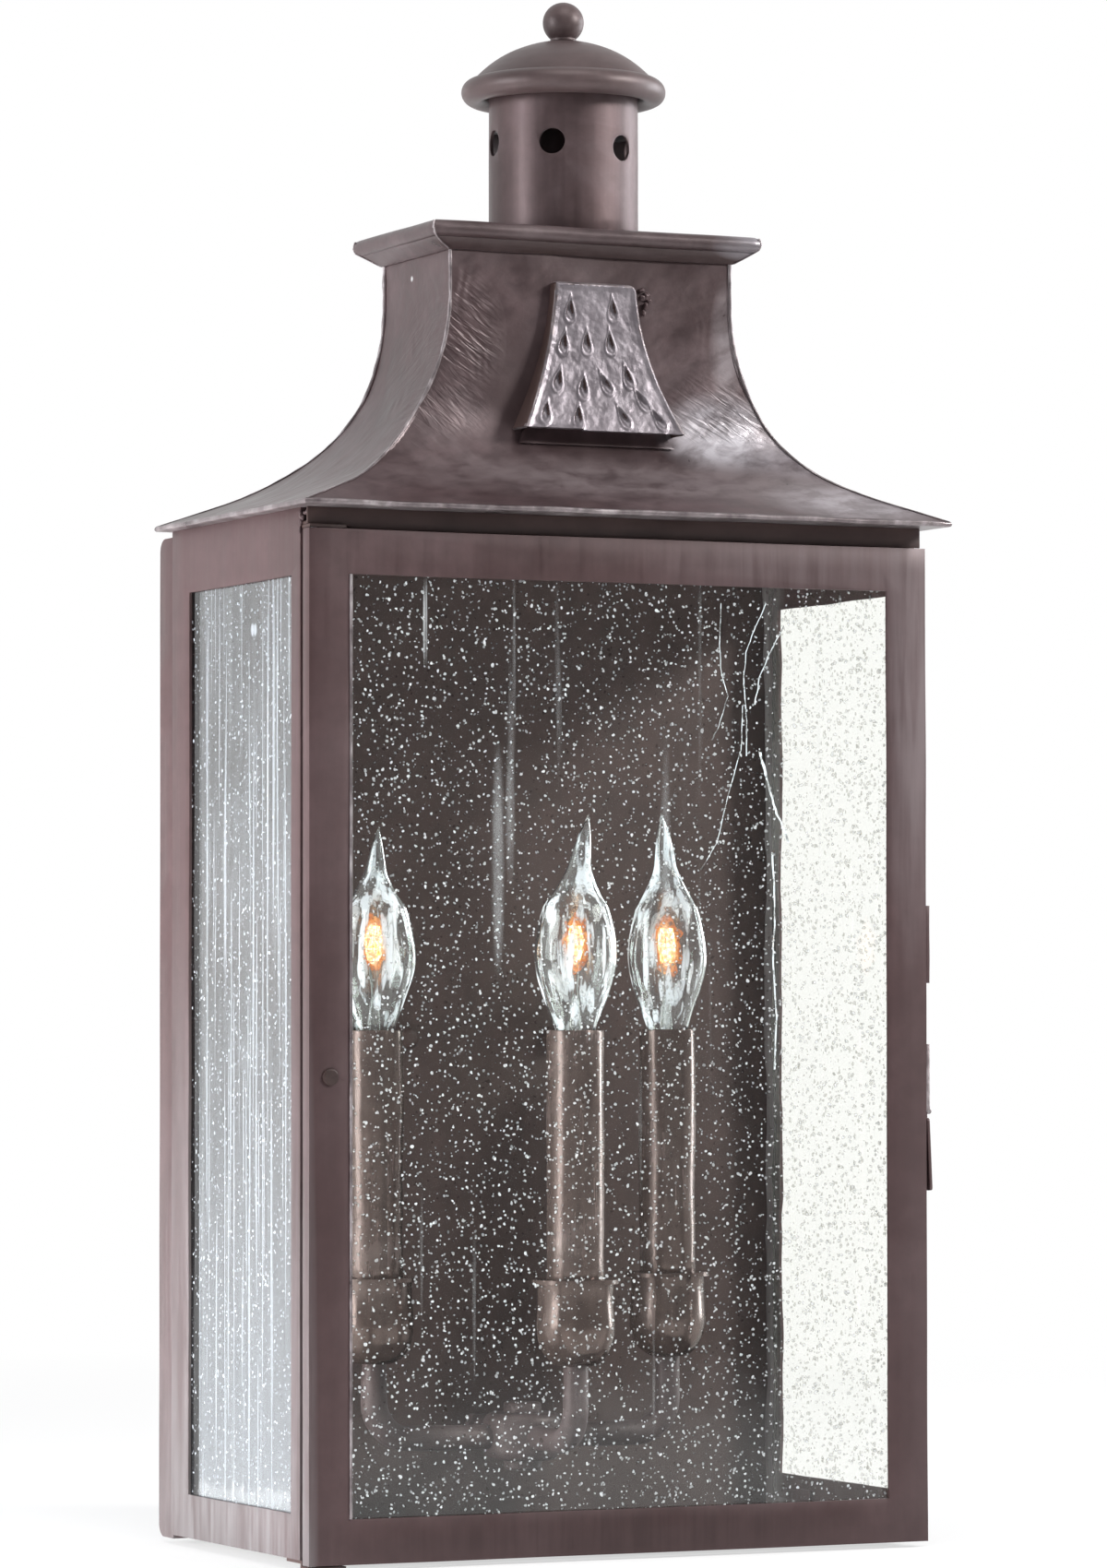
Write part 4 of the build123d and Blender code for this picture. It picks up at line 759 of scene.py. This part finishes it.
# hood: four sheets, each drawn down from the neck row by row
hood = {
    "sideSweep": (80 * mm, radians(70)), "depthSweep": (32 * mm, radians(58)),        # radius and angle of the arc
    "neckHalfWidth": 58.4 * mm, "neckHalfDepth": 30.8 * mm, "neckY": -91.2 * mm,
    "sheet": 1.1 * mm, "rows": 96, "columns": 190, "sideColumns": 100,
    "settle": 0.25 * mm, "rowSteps": 3000,
}
faceLow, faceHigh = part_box("hood_front_sheet")
rearLow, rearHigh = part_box("hood_rear_sheet")
sideLow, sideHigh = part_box("hood_right_sheet")
hood["eaveZ"], hood["neckZ"] = faceLow.z, faceHigh.z
hood["sideFoot"] = sideHigh.x
hood["frontFoot"] = hood["neckY"] - faceLow.y
hood["rearFoot"] = rearHigh.y - hood["neckY"]


def sweepReach(z, top, foot, radius, angle):
    # how far a sheet stands out at height z: upright neck, arc, then a straight skirt
    arcRun, arcDrop = radius * (1 - cos(angle)), radius * sin(angle)
    start = hood["eaveZ"] + arcDrop + (foot - top - arcRun) / tan(angle)
    drop = start - z
    if drop <= 0:
        return top
    if drop <= arcDrop:
        return top + radius * (1 - cos(asin(drop / radius)))
    return top + arcRun + (drop - arcDrop) * tan(angle)


def sideReach(z):
    return sweepReach(z, hood["neckHalfWidth"], hood["sideFoot"], *hood["sideSweep"])


def frontReach(z):
    return sweepReach(z, hood["neckHalfDepth"], hood["frontFoot"], *hood["depthSweep"])


def rearReach(z):
    return sweepReach(z, hood["neckHalfDepth"], hood["rearFoot"], *hood["depthSweep"])


def hoodHeights():
    # row heights from the neck to the eave, evenly spaced along the sheets
    steps = hood["rowSteps"]
    heights = [hood["neckZ"] + (hood["eaveZ"] - hood["neckZ"]) * i / steps for i in range(steps + 1)]
    run = [0.0]
    for upper, lower in zip(heights, heights[1:]):
        out = max(abs(sideReach(lower) - sideReach(upper)), abs(frontReach(lower) - frontReach(upper)))
        run.append(run[-1] + hypot(upper - lower, out))
    rows, index = [], 0
    for row in range(hood["rows"] + 1):
        while index < steps and run[index] < run[-1] * row / hood["rows"]:
            index += 1
        rows.append(heights[index])
    rows[0], rows[-1] = hood["neckZ"], hood["eaveZ"]
    return rows


hoodRows = hoodHeights()


def selectRow(piece, z):
    # the edges that lie at height z, in edit mode
    mesh = bmesh.from_edit_mesh(piece.data)
    for element in (*mesh.faces, *mesh.edges, *mesh.verts):
        element.select = False
    for edge in mesh.edges:
        if all(abs(v.co.z - z) < hair for v in edge.verts):
            for element in (edge, *edge.verts):
                element.select = True
    bmesh.update_edit_mesh(piece.data)


def sweptSheet(columns, lengthwise, lengths, centres):
    clearSelection()
    turn = (pi / 2, 0, 0) if lengthwise == 0 else (pi / 2, 0, pi / 2)
    top, second = hoodRows[0], hoodRows[1]
    bpy.ops.mesh.primitive_grid_add(x_subdivisions=columns, y_subdivisions=1, size=1, rotation=turn,
                                    location=(*centres[0], (top + second) / 2))
    piece = bpy.context.object
    piece.scale = (lengths[0], top - second, 1)
    placeInMesh(piece)
    setMode("EDIT")
    bpy.ops.mesh.select_mode(type="EDGE")
    selectRow(piece, second)
    for row in range(2, len(hoodRows)):
        step = [now - last for now, last in zip(centres[row], centres[row - 1])]
        step.append(hoodRows[row] - hoodRows[row - 1])
        bpy.ops.mesh.extrude_edges_move(TRANSFORM_OT_translate={"value": step})
        stretch = [1, 1, 1]
        stretch[lengthwise] = lengths[row] / lengths[row - 1]
        bpy.ops.transform.resize(value=stretch, center_override=(*centres[row], hoodRows[row]))
    bpy.ops.mesh.select_mode(type="VERT")
    setMode("OBJECT")
    return piece


def ripples(point, wave, lean):
    # short crossing ripples, as a hammer or a wire brush leaves beside a bend
    along = (point.x * cos(lean) + point.z * sin(lean)) / wave
    return sin(2 * pi * (along + noise.noise(point / (14 * mm)) * 2.2))


def hoodUneven(point):
    # how far the hood's skin stands out or in, in metres
    out = noise.noise(point / (38 * mm)) * 0.55 + noise.noise(point / (13 * mm)) * 0.16
    hip = sideReach(point.z) - abs(point.x)
    width = 26 * mm if point.x < 0 else 18 * mm
    beside = max(0.0, 1 - hip / width) if point.y < hood["neckY"] else 0.0
    lowered = min(1.0, max(0.0, (300 * mm - point.z) / (22 * mm)))
    worked = max(0.0, noise.noise(point / (17 * mm) + Vector((5, 2, 9))) + 0.35)
    strength = 0.16 if point.x < 0 else 0.10
    out += beside * lowered * worked * strength * ripples(point, 4.6 * mm, radians(35))
    return out * mm


def dressHoodSheet(piece, node, outward):
    for vertex in piece.data.vertices:
        z = vertex.co.z
        fade = min(1.0, (hood["neckZ"] - z) / (6 * mm) + 0.1, (z - hood["eaveZ"]) / (7 * mm) + 0.05)
        vertex.co += outward * (hoodUneven(vertex.co) - hood["settle"]) * fade
    faceOutward(piece)
    middle = piece.data.polygons[len(piece.data.polygons) // 2]
    if middle.normal.dot(outward) < 0:
        piece.data.flip_normals()
    thicken(piece, hood["sheet"])
    smooth(piece, 45)
    dressNode(piece, node, node + "Swept", ["bronzeHood"])


for facing, node, reach in ((-1, "hood_front_sheet", frontReach), (1, "hood_rear_sheet", rearReach)):
    lengths = [2 * sideReach(z) for z in hoodRows]
    centres = [(0.0, hood["neckY"] + facing * reach(z)) for z in hoodRows]
    dressHoodSheet(sweptSheet(hood["columns"], 0, lengths, centres), node, Vector((0, facing, 0.25)))
for side, node in ((-1, "hood_left_sheet"), (1, "hood_right_sheet")):
    lengths = [frontReach(z) + rearReach(z) for z in hoodRows]
    centres = [(side * sideReach(z), hood["neckY"] + (rearReach(z) - frontReach(z)) / 2) for z in hoodRows]
    dressHoodSheet(sweptSheet(hood["sideColumns"], 1, lengths, centres), node, Vector((side, 0, 0.25)))
print("hood swept:", len(hoodRows), "rows")


def startRing(sides, radius, place):
    clearSelection()
    bpy.ops.mesh.primitive_circle_add(vertices=sides, radius=radius, fill_type="NGON", location=place)
    piece = bpy.context.object
    placeInMesh(piece)
    editAll(piece)
    return piece


def drawRun(points, radius, sides=8, wobble=0.0, grain=mm):
    # a round run of solder or wire: one ring, extruded from point to point
    piece = startRing(sides, radius, points[0])
    for last, point in zip(points, points[1:]):
        bpy.ops.mesh.extrude_region_move(TRANSFORM_OT_translate={"value": Vector(point) - Vector(last)})
    setMode("OBJECT")
    for index, vertex in enumerate(piece.data.vertices):
        if wobble:
            middle = Vector(points[min(index // sides, len(points) - 1)])
            vertex.co = middle + (vertex.co - middle) * (1 + wobble * noise.noise(vertex.co / grain))
    faceOutward(piece)
    smooth(piece, 60)
    return piece


hipLift = 0.15 * mm
hipRun = {"radius": 0.75 * mm, "wobble": 0.5, "grain": 5 * mm}
# from the tray's top corner round its edge and down the cove, out from the neck's corner and below the top
mitreSteps = ((9.2, 6.1, 0.6), (9.7, 6.6, 2.0), (9.8, 6.7, 3.4), (9.0, 6.1, 5.2), (7.4, 4.4, 6.4), (4.2, 2.4, 8.4),
              (1.0, 1.0, 10.2))
mitreRun = {"radius": 0.42 * mm, "wobble": 0.7, "grain": 1.6 * mm}
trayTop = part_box("top_tray")[1].z
seams = []
for side in (-1, 1):
    for reach, facing in ((frontReach, -1), (rearReach, 1)):
        corner = [(side * (sideReach(z) - hipLift), hood["neckY"] + facing * (reach(z) - hipLift), z) for z in hoodRows]
        seams.append(drawRun(corner, **hipRun))
        mitre = [(side * (hood["neckHalfWidth"] + out * mm),
                  hood["neckY"] + facing * (hood["neckHalfDepth"] + deep * mm), trayTop - drop * mm)
                 for out, deep, drop in mitreSteps]
        seams.append(drawRun(mitre, **mitreRun))
finishPiece(joinPieces(seams), "hoodSolder", "lantern", ["bronzeWorn"])

bead = {"face": -150.1 * mm, "rows": 60}
beadRun = {"radius": 0.55 * mm, "sides": 10, "wobble": 0.12, "grain": 9 * mm}
edgeX = door["rail"] - door["halfWidth"]
edgeLow, edgeHigh = door["foot"] + door["rail"], door["top"] - door["rail"]
edge = [(edgeX, bead["face"], edgeLow + (edgeHigh - edgeLow) * i / bead["rows"]) for i in range(bead["rows"] + 1)]
finishPiece(drawRun(edge, **beadRun), "doorWindowBead", "door", ["bronzeWorn"])
print("seams soldered")

# drawn threads in the door glass, as places across and up the pane
threads = {
    "paths": (((59.8, 163.6), (55.1, 154.5), (51.2, 144.9), (50.2, 132.6), (51.5, 119.4), (51.5, 104.3)),
              ((67.3, 155.3), (61.6, 145.6), (56.9, 135.8), (54.6, 124.0)),
              ((40.7, 163.1), (40.2, 149.0), (40.7, 137.7), (43.6, 128.3), (39.8, 116.8), (36.4, 111.1)),
              ((49.8, 125.0), (49.0, 108.0), (44.1, 92.9), (38.9, 73.4), (31.2, 62.0)),
              ((57.0, 107.5), (59.4, 99.0), (61.7, 91.5), (63.9, 84.6), (65.6, 81.8), (69.4, 72.5)),
              ((62.0, 70.0), (63.2, 50.0), (62.4, 30.0), (63.6, 8.0), (62.8, -14.0))),
    "radii": (0.20, 0.22, 0.14, 0.16, 0.42, 0.30), "steps": 9, "sway": 0.4,
}
threadRun = {"sides": 6, "wobble": 0.5, "grain": 3 * mm}
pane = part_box("door_glass")[0].y + 0.05 * mm
runs = []
for path, radius in zip(threads["paths"], threads["radii"]):
    points = []
    for (x, z), (nextX, nextZ) in zip(path, path[1:]):
        for step in range(threads["steps"]):
            share = step / threads["steps"]
            sway = threads["sway"] * noise.noise(Vector((x + step, z, 3.0)) / 3.1)
            points.append(((x + (nextX - x) * share + sway) * mm, pane, (z + (nextZ - z) * share) * mm))
    runs.append(drawRun(points, radius * mm, **threadRun))
finishPiece(joinPieces(runs), "doorGlassThreads", "door", ["threadGlass"])


blobShare = 0.8        # of the sizes below


def meltedBlob(place, size, seed):
    clearSelection()
    bpy.ops.mesh.primitive_ico_sphere_add(subdivisions=3, radius=1, location=[p * mm for p in place])
    piece = bpy.context.object
    piece.scale = [blobShare * s * mm for s in size]
    placeInMesh(piece)
    centre = Vector(place) * mm
    for vertex in piece.data.vertices:
        swell = noise.noise(vertex.co / (1.1 * mm) + Vector((seed, 0, 0)))
        vertex.co = insideBox(centre + (vertex.co - centre) * (1 + 0.45 * swell))
    smooth(piece, 60)
    return piece


solderBlobs = {
    "cowlSolder": (((20.6, -122.6, 282.6), (1.9, 1.1, 1.2)), ((22.6, -122.6, 280.4), (1.5, 1.2, 1.9)),
                   ((22.2, -122.7, 276.6), (1.3, 1.1, 1.7)), ((24.0, -122.4, 278.6), (1.1, 0.8, 1.2)),
                   ((20.4, -123.4, 279.6), (1.4, 1.2, 1.5)), ((21.2, -123.0, 273.8), (1.0, 1.0, 1.6))),
    "cornerSolder": (((-126.8, -141.6, 191.6), (1.0, 1.2, 1.8)), ((-126.9, -141.9, 188.6), (0.9, 1.1, 1.6)),
                     ((-126.6, -142.8, 190.2), (1.0, 1.3, 1.4)), ((-126.2, -144.2, 191.8), (0.9, 1.4, 1.0)),
                     ((-126.9, -141.2, 185.8), (0.7, 0.8, 1.4)), ((-126.0, -146.0, 192.4), (0.9, 1.1, 0.9))),
}
for name, blobs in solderBlobs.items():
    lumps = [meltedBlob(place, size, 3.7 * index) for index, (place, size) in enumerate(blobs)]
    finishPiece(joinPieces(lumps), name, "lantern", ["bronzeHood"])


# vent cowl: a raised grid curved to its outline, its rims turned back to the hood, hammered all over
cowl = {
    "waist": (17.0, 2.9, 13.6),          # half width in mm: constant, linear and square terms down the face
    "stand": (34.8, -1.6, 9.6),          # the same for how far its face is from the neck's middle
    "columns": 164, "rows": 132, "sheet": 1.0 * mm, "rimTurn": 1.2 * mm, "hoodGap": 0.2 * mm,
    "leftRound": 1.4, "rightRound": 3.6, "foldRound": 1.0,
    "rimWidth": 1.9, "rimRise": 0.32, "step": (-9.0, 0.55),
    "dent": (1.75, 3.6, 1.35, 0.28),     # half width, half height, depth, lip
    # where each dent is and how it leans, in degrees
    "dents": ((-10.9, 273.7, 4), (6.8, 274.5, -4), (-14.0, 260.9, 10), (-4.4, 261.4, 2), (5.2, 261.8, -3),
              (-17.3, 246.7, 16), (-7.2, 244.3, 8), (2.1, 246.2, -24), (11.6, 249.1, -12), (16.5, 240.4, -30),
              (-23.7, 234.1, 14), (-10.5, 232.9, 8), (8.0, 233.6, -24), (22.6, 233.2, -32)),
}
cowlLow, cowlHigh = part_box("vent_cowl")
cowlTop, cowlTall = cowlHigh.z / mm, (cowlHigh.z - cowlLow.z) / mm


def dentDepth(x, z):
    halfWidth, halfHeight, depth, lip = cowl["dent"]
    total = 0.0
    for centreX, centreZ, lean in cowl["dents"]:
        dx, dz = x - centreX, z - centreZ
        if abs(dx) > 6 or abs(dz) > 6:
            continue
        angle = radians(lean)
        up = dz * cos(angle) + dx * sin(angle)
        across = dx * cos(angle) - dz * sin(angle)
        narrow = halfWidth * (0.72 - 0.38 * max(-1.0, min(1.0, up / halfHeight)))
        reach = hypot(up / halfHeight, across / narrow)
        if reach < 1:
            total -= depth * (1 - reach * reach)
        elif reach < 1.7:
            total += lip * sin(pi * (reach - 1) / 0.7)
    return total


def shapeCowl(piece):
    for vertex in piece.data.vertices:
        u = vertex.co.x / (cowl["waist"][0] * mm)
        t = (cowlTop - vertex.co.z / mm) / cowlTall
        half, stand = (a + b * t + c * t * t for a, b, c in (cowl["waist"], cowl["stand"]))
        corner = cowl["rightRound"] if u > 0 else cowl["leftRound"]
        down = t * cowlTall
        squeeze = corner - sqrt(max(0.0, corner ** 2 - (corner - down) ** 2)) if down < corner else 0.0
        x = u * (half - squeeze)
        z = cowlTop - down
        if t > 0.97 and x < cowl["step"][0]:
            z += cowl["step"][1] * (t - 0.97) / 0.03
        rim = max(0.0, min(half - squeeze - abs(x), down))
        rise = cowl["rimRise"] * max(0.0, 1 - abs(rim - cowl["rimWidth"] * 0.6) / cowl["rimWidth"])
        turned = cowl["foldRound"]
        if rim < turned:
            rise -= turned - sqrt(turned ** 2 - (turned - rim) ** 2)
        rough = noise.noise(Vector((x, z, 0)) / 5.5) * 0.22 + noise.noise(Vector((x, z, 4)) / 1.7) * 0.07
        out = stand + rise + dentDepth(x, z) + rough
        vertex.co = Vector((x * mm, hood["neckY"] - out * mm, z * mm))


def buildCowl():
    clearSelection()
    bpy.ops.mesh.primitive_grid_add(x_subdivisions=cowl["columns"], y_subdivisions=cowl["rows"], size=1,
                                    rotation=(pi / 2, 0, 0),
                                    location=(0, cowlLow.y, (cowlLow.z + cowlHigh.z) / 2))
    piece = bpy.context.object
    piece.scale = (2 * cowl["waist"][0] * mm, cowlHigh.z - cowlLow.z, 1)
    placeInMesh(piece)
    foot = min(v.co.z for v in piece.data.vertices)
    uses = {}
    for face in piece.data.polygons:
        for key in face.edge_keys:
            uses[key] = uses.get(key, 0) + 1
    heights = [v.co.z for v in piece.data.vertices]
    rims = {key for key in uses if uses[key] == 1 and not all(heights[i] < foot + hair for i in key)}
    shapeCowl(piece)
    for element in (*piece.data.vertices, *piece.data.polygons):
        element.select = False
    for edge in piece.data.edges:
        edge.select = edge.key in rims
    setMode("EDIT")
    bpy.ops.mesh.select_mode(type="EDGE")
    for turn in range(2):        # the rims go back to the hood in two steps
        bpy.ops.mesh.extrude_edges_move(TRANSFORM_OT_translate={"value": (0, cowl["rimTurn"], 0)})
    setMode("OBJECT")
    for vertex in piece.data.vertices:
        if vertex.select:
            vertex.co.y = max(vertex.co.y, hood["neckY"] - frontReach(vertex.co.z) + cowl["hoodGap"])
    setMode("EDIT")
    bpy.ops.mesh.select_mode(type="VERT")
    setMode("OBJECT")
    faceOutward(piece)
    if piece.data.polygons[len(piece.data.polygons) // 3].normal.y > 0:
        piece.data.flip_normals()
    thicken(piece, cowl["sheet"])
    smooth(piece, 50)
    dressNode(piece, "vent_cowl", "ventCowlHammered", ["bronzeHammered", "bronzeWorn", "bronzeInnerAndShade"])
    for face in piece.data.polygons:
        # the side returns take the dark inner finish as painted shade
        if abs(face.normal.x) > 0.75:
            face.material_index = 2
            continue
        x, z = face.center.x / mm, face.center.z / mm
        t = (cowlTop - z) / cowlTall
        a, b, c = cowl["waist"]
        rim = min(a + b * t + c * t * t - abs(x), t * cowlTall)
        if rim + noise.noise(Vector((x, z, 2)) / 2.4) * 1.3 < 1.0:
            face.material_index = 1


buildCowl()
print("vent cowl hammered")


# bulbs: blown glass with bent tips, a lit coil on its press, and a threaded shell
bulbs = {
    "bendFrom": 46.0, "top": 88.0, "ripple": 0.22, "rippleSize": 9.0,
    "pinchFrom": 50.0, "pinch": 0.45,
    "tips": {"left": (2.3, 0.6, -7.0), "front": (5.4, -0.8, -2.9), "right": (-2.3, 0.4, -0.5)},
    "coilLow": 29.5, "coilHigh": 42.5, "coilReach": 2.3, "strands": 9, "wire": 0.36,
    "leadWire": 0.28, "leadPath": ((0.7, 12), (0.9, 20), (1.6, 27), (1.9, 30)),
    "pressRings": ((2.5, 0.4), (2.6, 5), (1.9, 9), (1.5, 14), (1.1, 16)),
    "threadPitch": 3.6, "threadDeep": 0.3, "threadRadius": 5.7,
}


def bendTip(piece, hand, middle):
    shift = Vector(bulbs["tips"][hand])
    for vertex in piece.data.vertices:
        z = vertex.co.z / mm
        place = Vector((vertex.co.x, vertex.co.y, vertex.co.z * 0.4)) / (bulbs["rippleSize"] * mm)
        wave = noise.noise_vector(place)
        vertex.co += Vector((wave.x, wave.y, 0)) * bulbs["ripple"] * mm * min(1.0, max(0.0, z / 10))
        pinch = max(0.0, min(1.0, (z - bulbs["pinchFrom"]) / 16)) * bulbs["pinch"]
        vertex.co.x += (middle[0] - vertex.co.x) * pinch
        vertex.co.y += (middle[1] - vertex.co.y) * pinch
        share = max(0.0, z - bulbs["bendFrom"]) / (bulbs["top"] - bulbs["bendFrom"])
        vertex.co += Vector((shift.x * share ** 1.7, shift.y * share ** 1.7, shift.z * share)) * mm


def turnedPiece(middle, rings):
    piece = startRing(24, rings[0][0] * mm, (*middle, rings[0][1] * mm))
    for (lastRadius, lastZ), (radius, z) in zip(rings, rings[1:]):
        bpy.ops.mesh.extrude_region_move(TRANSFORM_OT_translate={"value": (0, 0, (z - lastZ) * mm)})
        bpy.ops.transform.resize(value=(radius / lastRadius, radius / lastRadius, 1),
                                 center_override=(*middle, z * mm))
    setMode("OBJECT")
    faceOutward(piece)
    smooth(piece, 40)
    return piece


def glowShell(middle, height, size):
    clearSelection()
    bpy.ops.mesh.primitive_uv_sphere_add(segments=24, ring_count=16, radius=1, location=(*middle, height))
    piece = bpy.context.object
    piece.scale = [s * mm for s in size]
    placeInMesh(piece)
    centre = Vector((*middle, height))
    for vertex in piece.data.vertices:
        vertex.co = centre + (vertex.co - centre) * (1 + 0.6 * noise.noise(vertex.co / (3 * mm)))
    smooth(piece, 60)
    return piece


for hand in hands:
    body = f"bulb_{hand}"
    low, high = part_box(f"bulb_glass_{hand}")
    middle = ((low.x + high.x) / 2, (low.y + high.y) / 2)
    glass = solidCopy(f"bulb_glass_{hand}")
    bendTip(glass, hand, middle)
    dressNode(glass, f"bulb_glass_{hand}", f"bulb_glass_{hand}Blown", ["bulbGlass"])
    smooth(glass, 40)

    strands = []
    for index in range(bulbs["strands"]):
        turn = 2 * pi * index / bulbs["strands"]
        lean = 0.5 if index % 2 else -0.5
        path = []
        for step in range(7):
            share = step / 6
            angle = turn + lean * share
            reach = bulbs["coilReach"] * (0.75 + 0.4 * sin(pi * share)) * mm
            path.append((middle[0] + reach * cos(angle), middle[1] + reach * sin(angle),
                         (bulbs["coilLow"] + (bulbs["coilHigh"] - bulbs["coilLow"]) * share) * mm))
        strands.append(drawRun(path, bulbs["wire"] * mm, 6))
    dressNode(joinPieces(strands), f"bulb_filament_{hand}", f"bulb_coil_{hand}", ["litWire"])
    press = turnedPiece(middle, bulbs["pressRings"])
    finishPiece(press, f"bulb_press_{hand}", body, ["pressGlass"])
    leads = []
    for side in (-1, 1):
        path = [(middle[0] + side * out * mm, middle[1], z * mm) for out, z in bulbs["leadPath"]]
        leads.append(drawRun(path, bulbs["leadWire"] * mm))
    finishPiece(joinPieces(leads), f"bulb_leads_{hand}", body, ["zincSteel"])
    # painted glow shells round the coil
    for name, (tone, strength, share, size) in glows.items():
        shell = glowShell(middle, (bulbs["coilLow"] + bulbs["coilHigh"]) / 2 * mm, size)
        finishPiece(shell, f"{name}_{hand}", body, [name])

    shell = solidCopy(f"bulb_base_{hand}")
    cutAcross(shell, 2, 0.5 * mm)
    for vertex in shell.data.vertices:
        dx, dy = vertex.co.x - middle[0], vertex.co.y - middle[1]
        reach = hypot(dx, dy)
        z = vertex.co.z / mm
        if reach > 5.5 * mm and -20.5 < z < -3:
            wave = sin(2 * pi * z / bulbs["threadPitch"] + atan2(dy, dx))
            grown = (bulbs["threadRadius"] + bulbs["threadDeep"] * wave) * mm / reach
            vertex.co.x, vertex.co.y = middle[0] + dx * grown, middle[1] + dy * grown
    dressNode(shell, f"bulb_base_{hand}", f"bulb_base_{hand}Threaded", ["brassShell"])
    smooth(shell, 50)
print("bulbs blown")


# finishes of the nodes that keep their CAD shape
plainFinish = {
    "bronzeInnerAndShade": ["cap_nuts"],
    "bronzeTurned": ["candle_hub", "hub_nuts", "feed_tube", "keeper_rivets", *(f"candle_arm_{h}" for h in hands)],
    "bronzeSleeve": [f"candle_cup_{h}" for h in hands],
    "bronzeRivet": ["door_rivets"],
    "bronzeFlat": ["side_glass_clips", "door_glass_clips"],
    "phenolic": [f"lamp_socket_{h}" for h in hands],
    "doorGlass": ["door_glass"],
    "leftGlass": ["left_side_glass"],
    "rightGlass": ["right_side_glass"],
    "zincSteel": ["crossbar_studs", "cap_spider", "hinge_pins", "latch_pin"],
}
for finish, names in plainFinish.items():
    for node in names:
        solid = frame["nodes"][node]
        solid.data.materials.clear()
        solid.data.materials.append(materials[finish])
print("finishes given")

bpy.context.scene.view_settings.view_transform = "Standard"
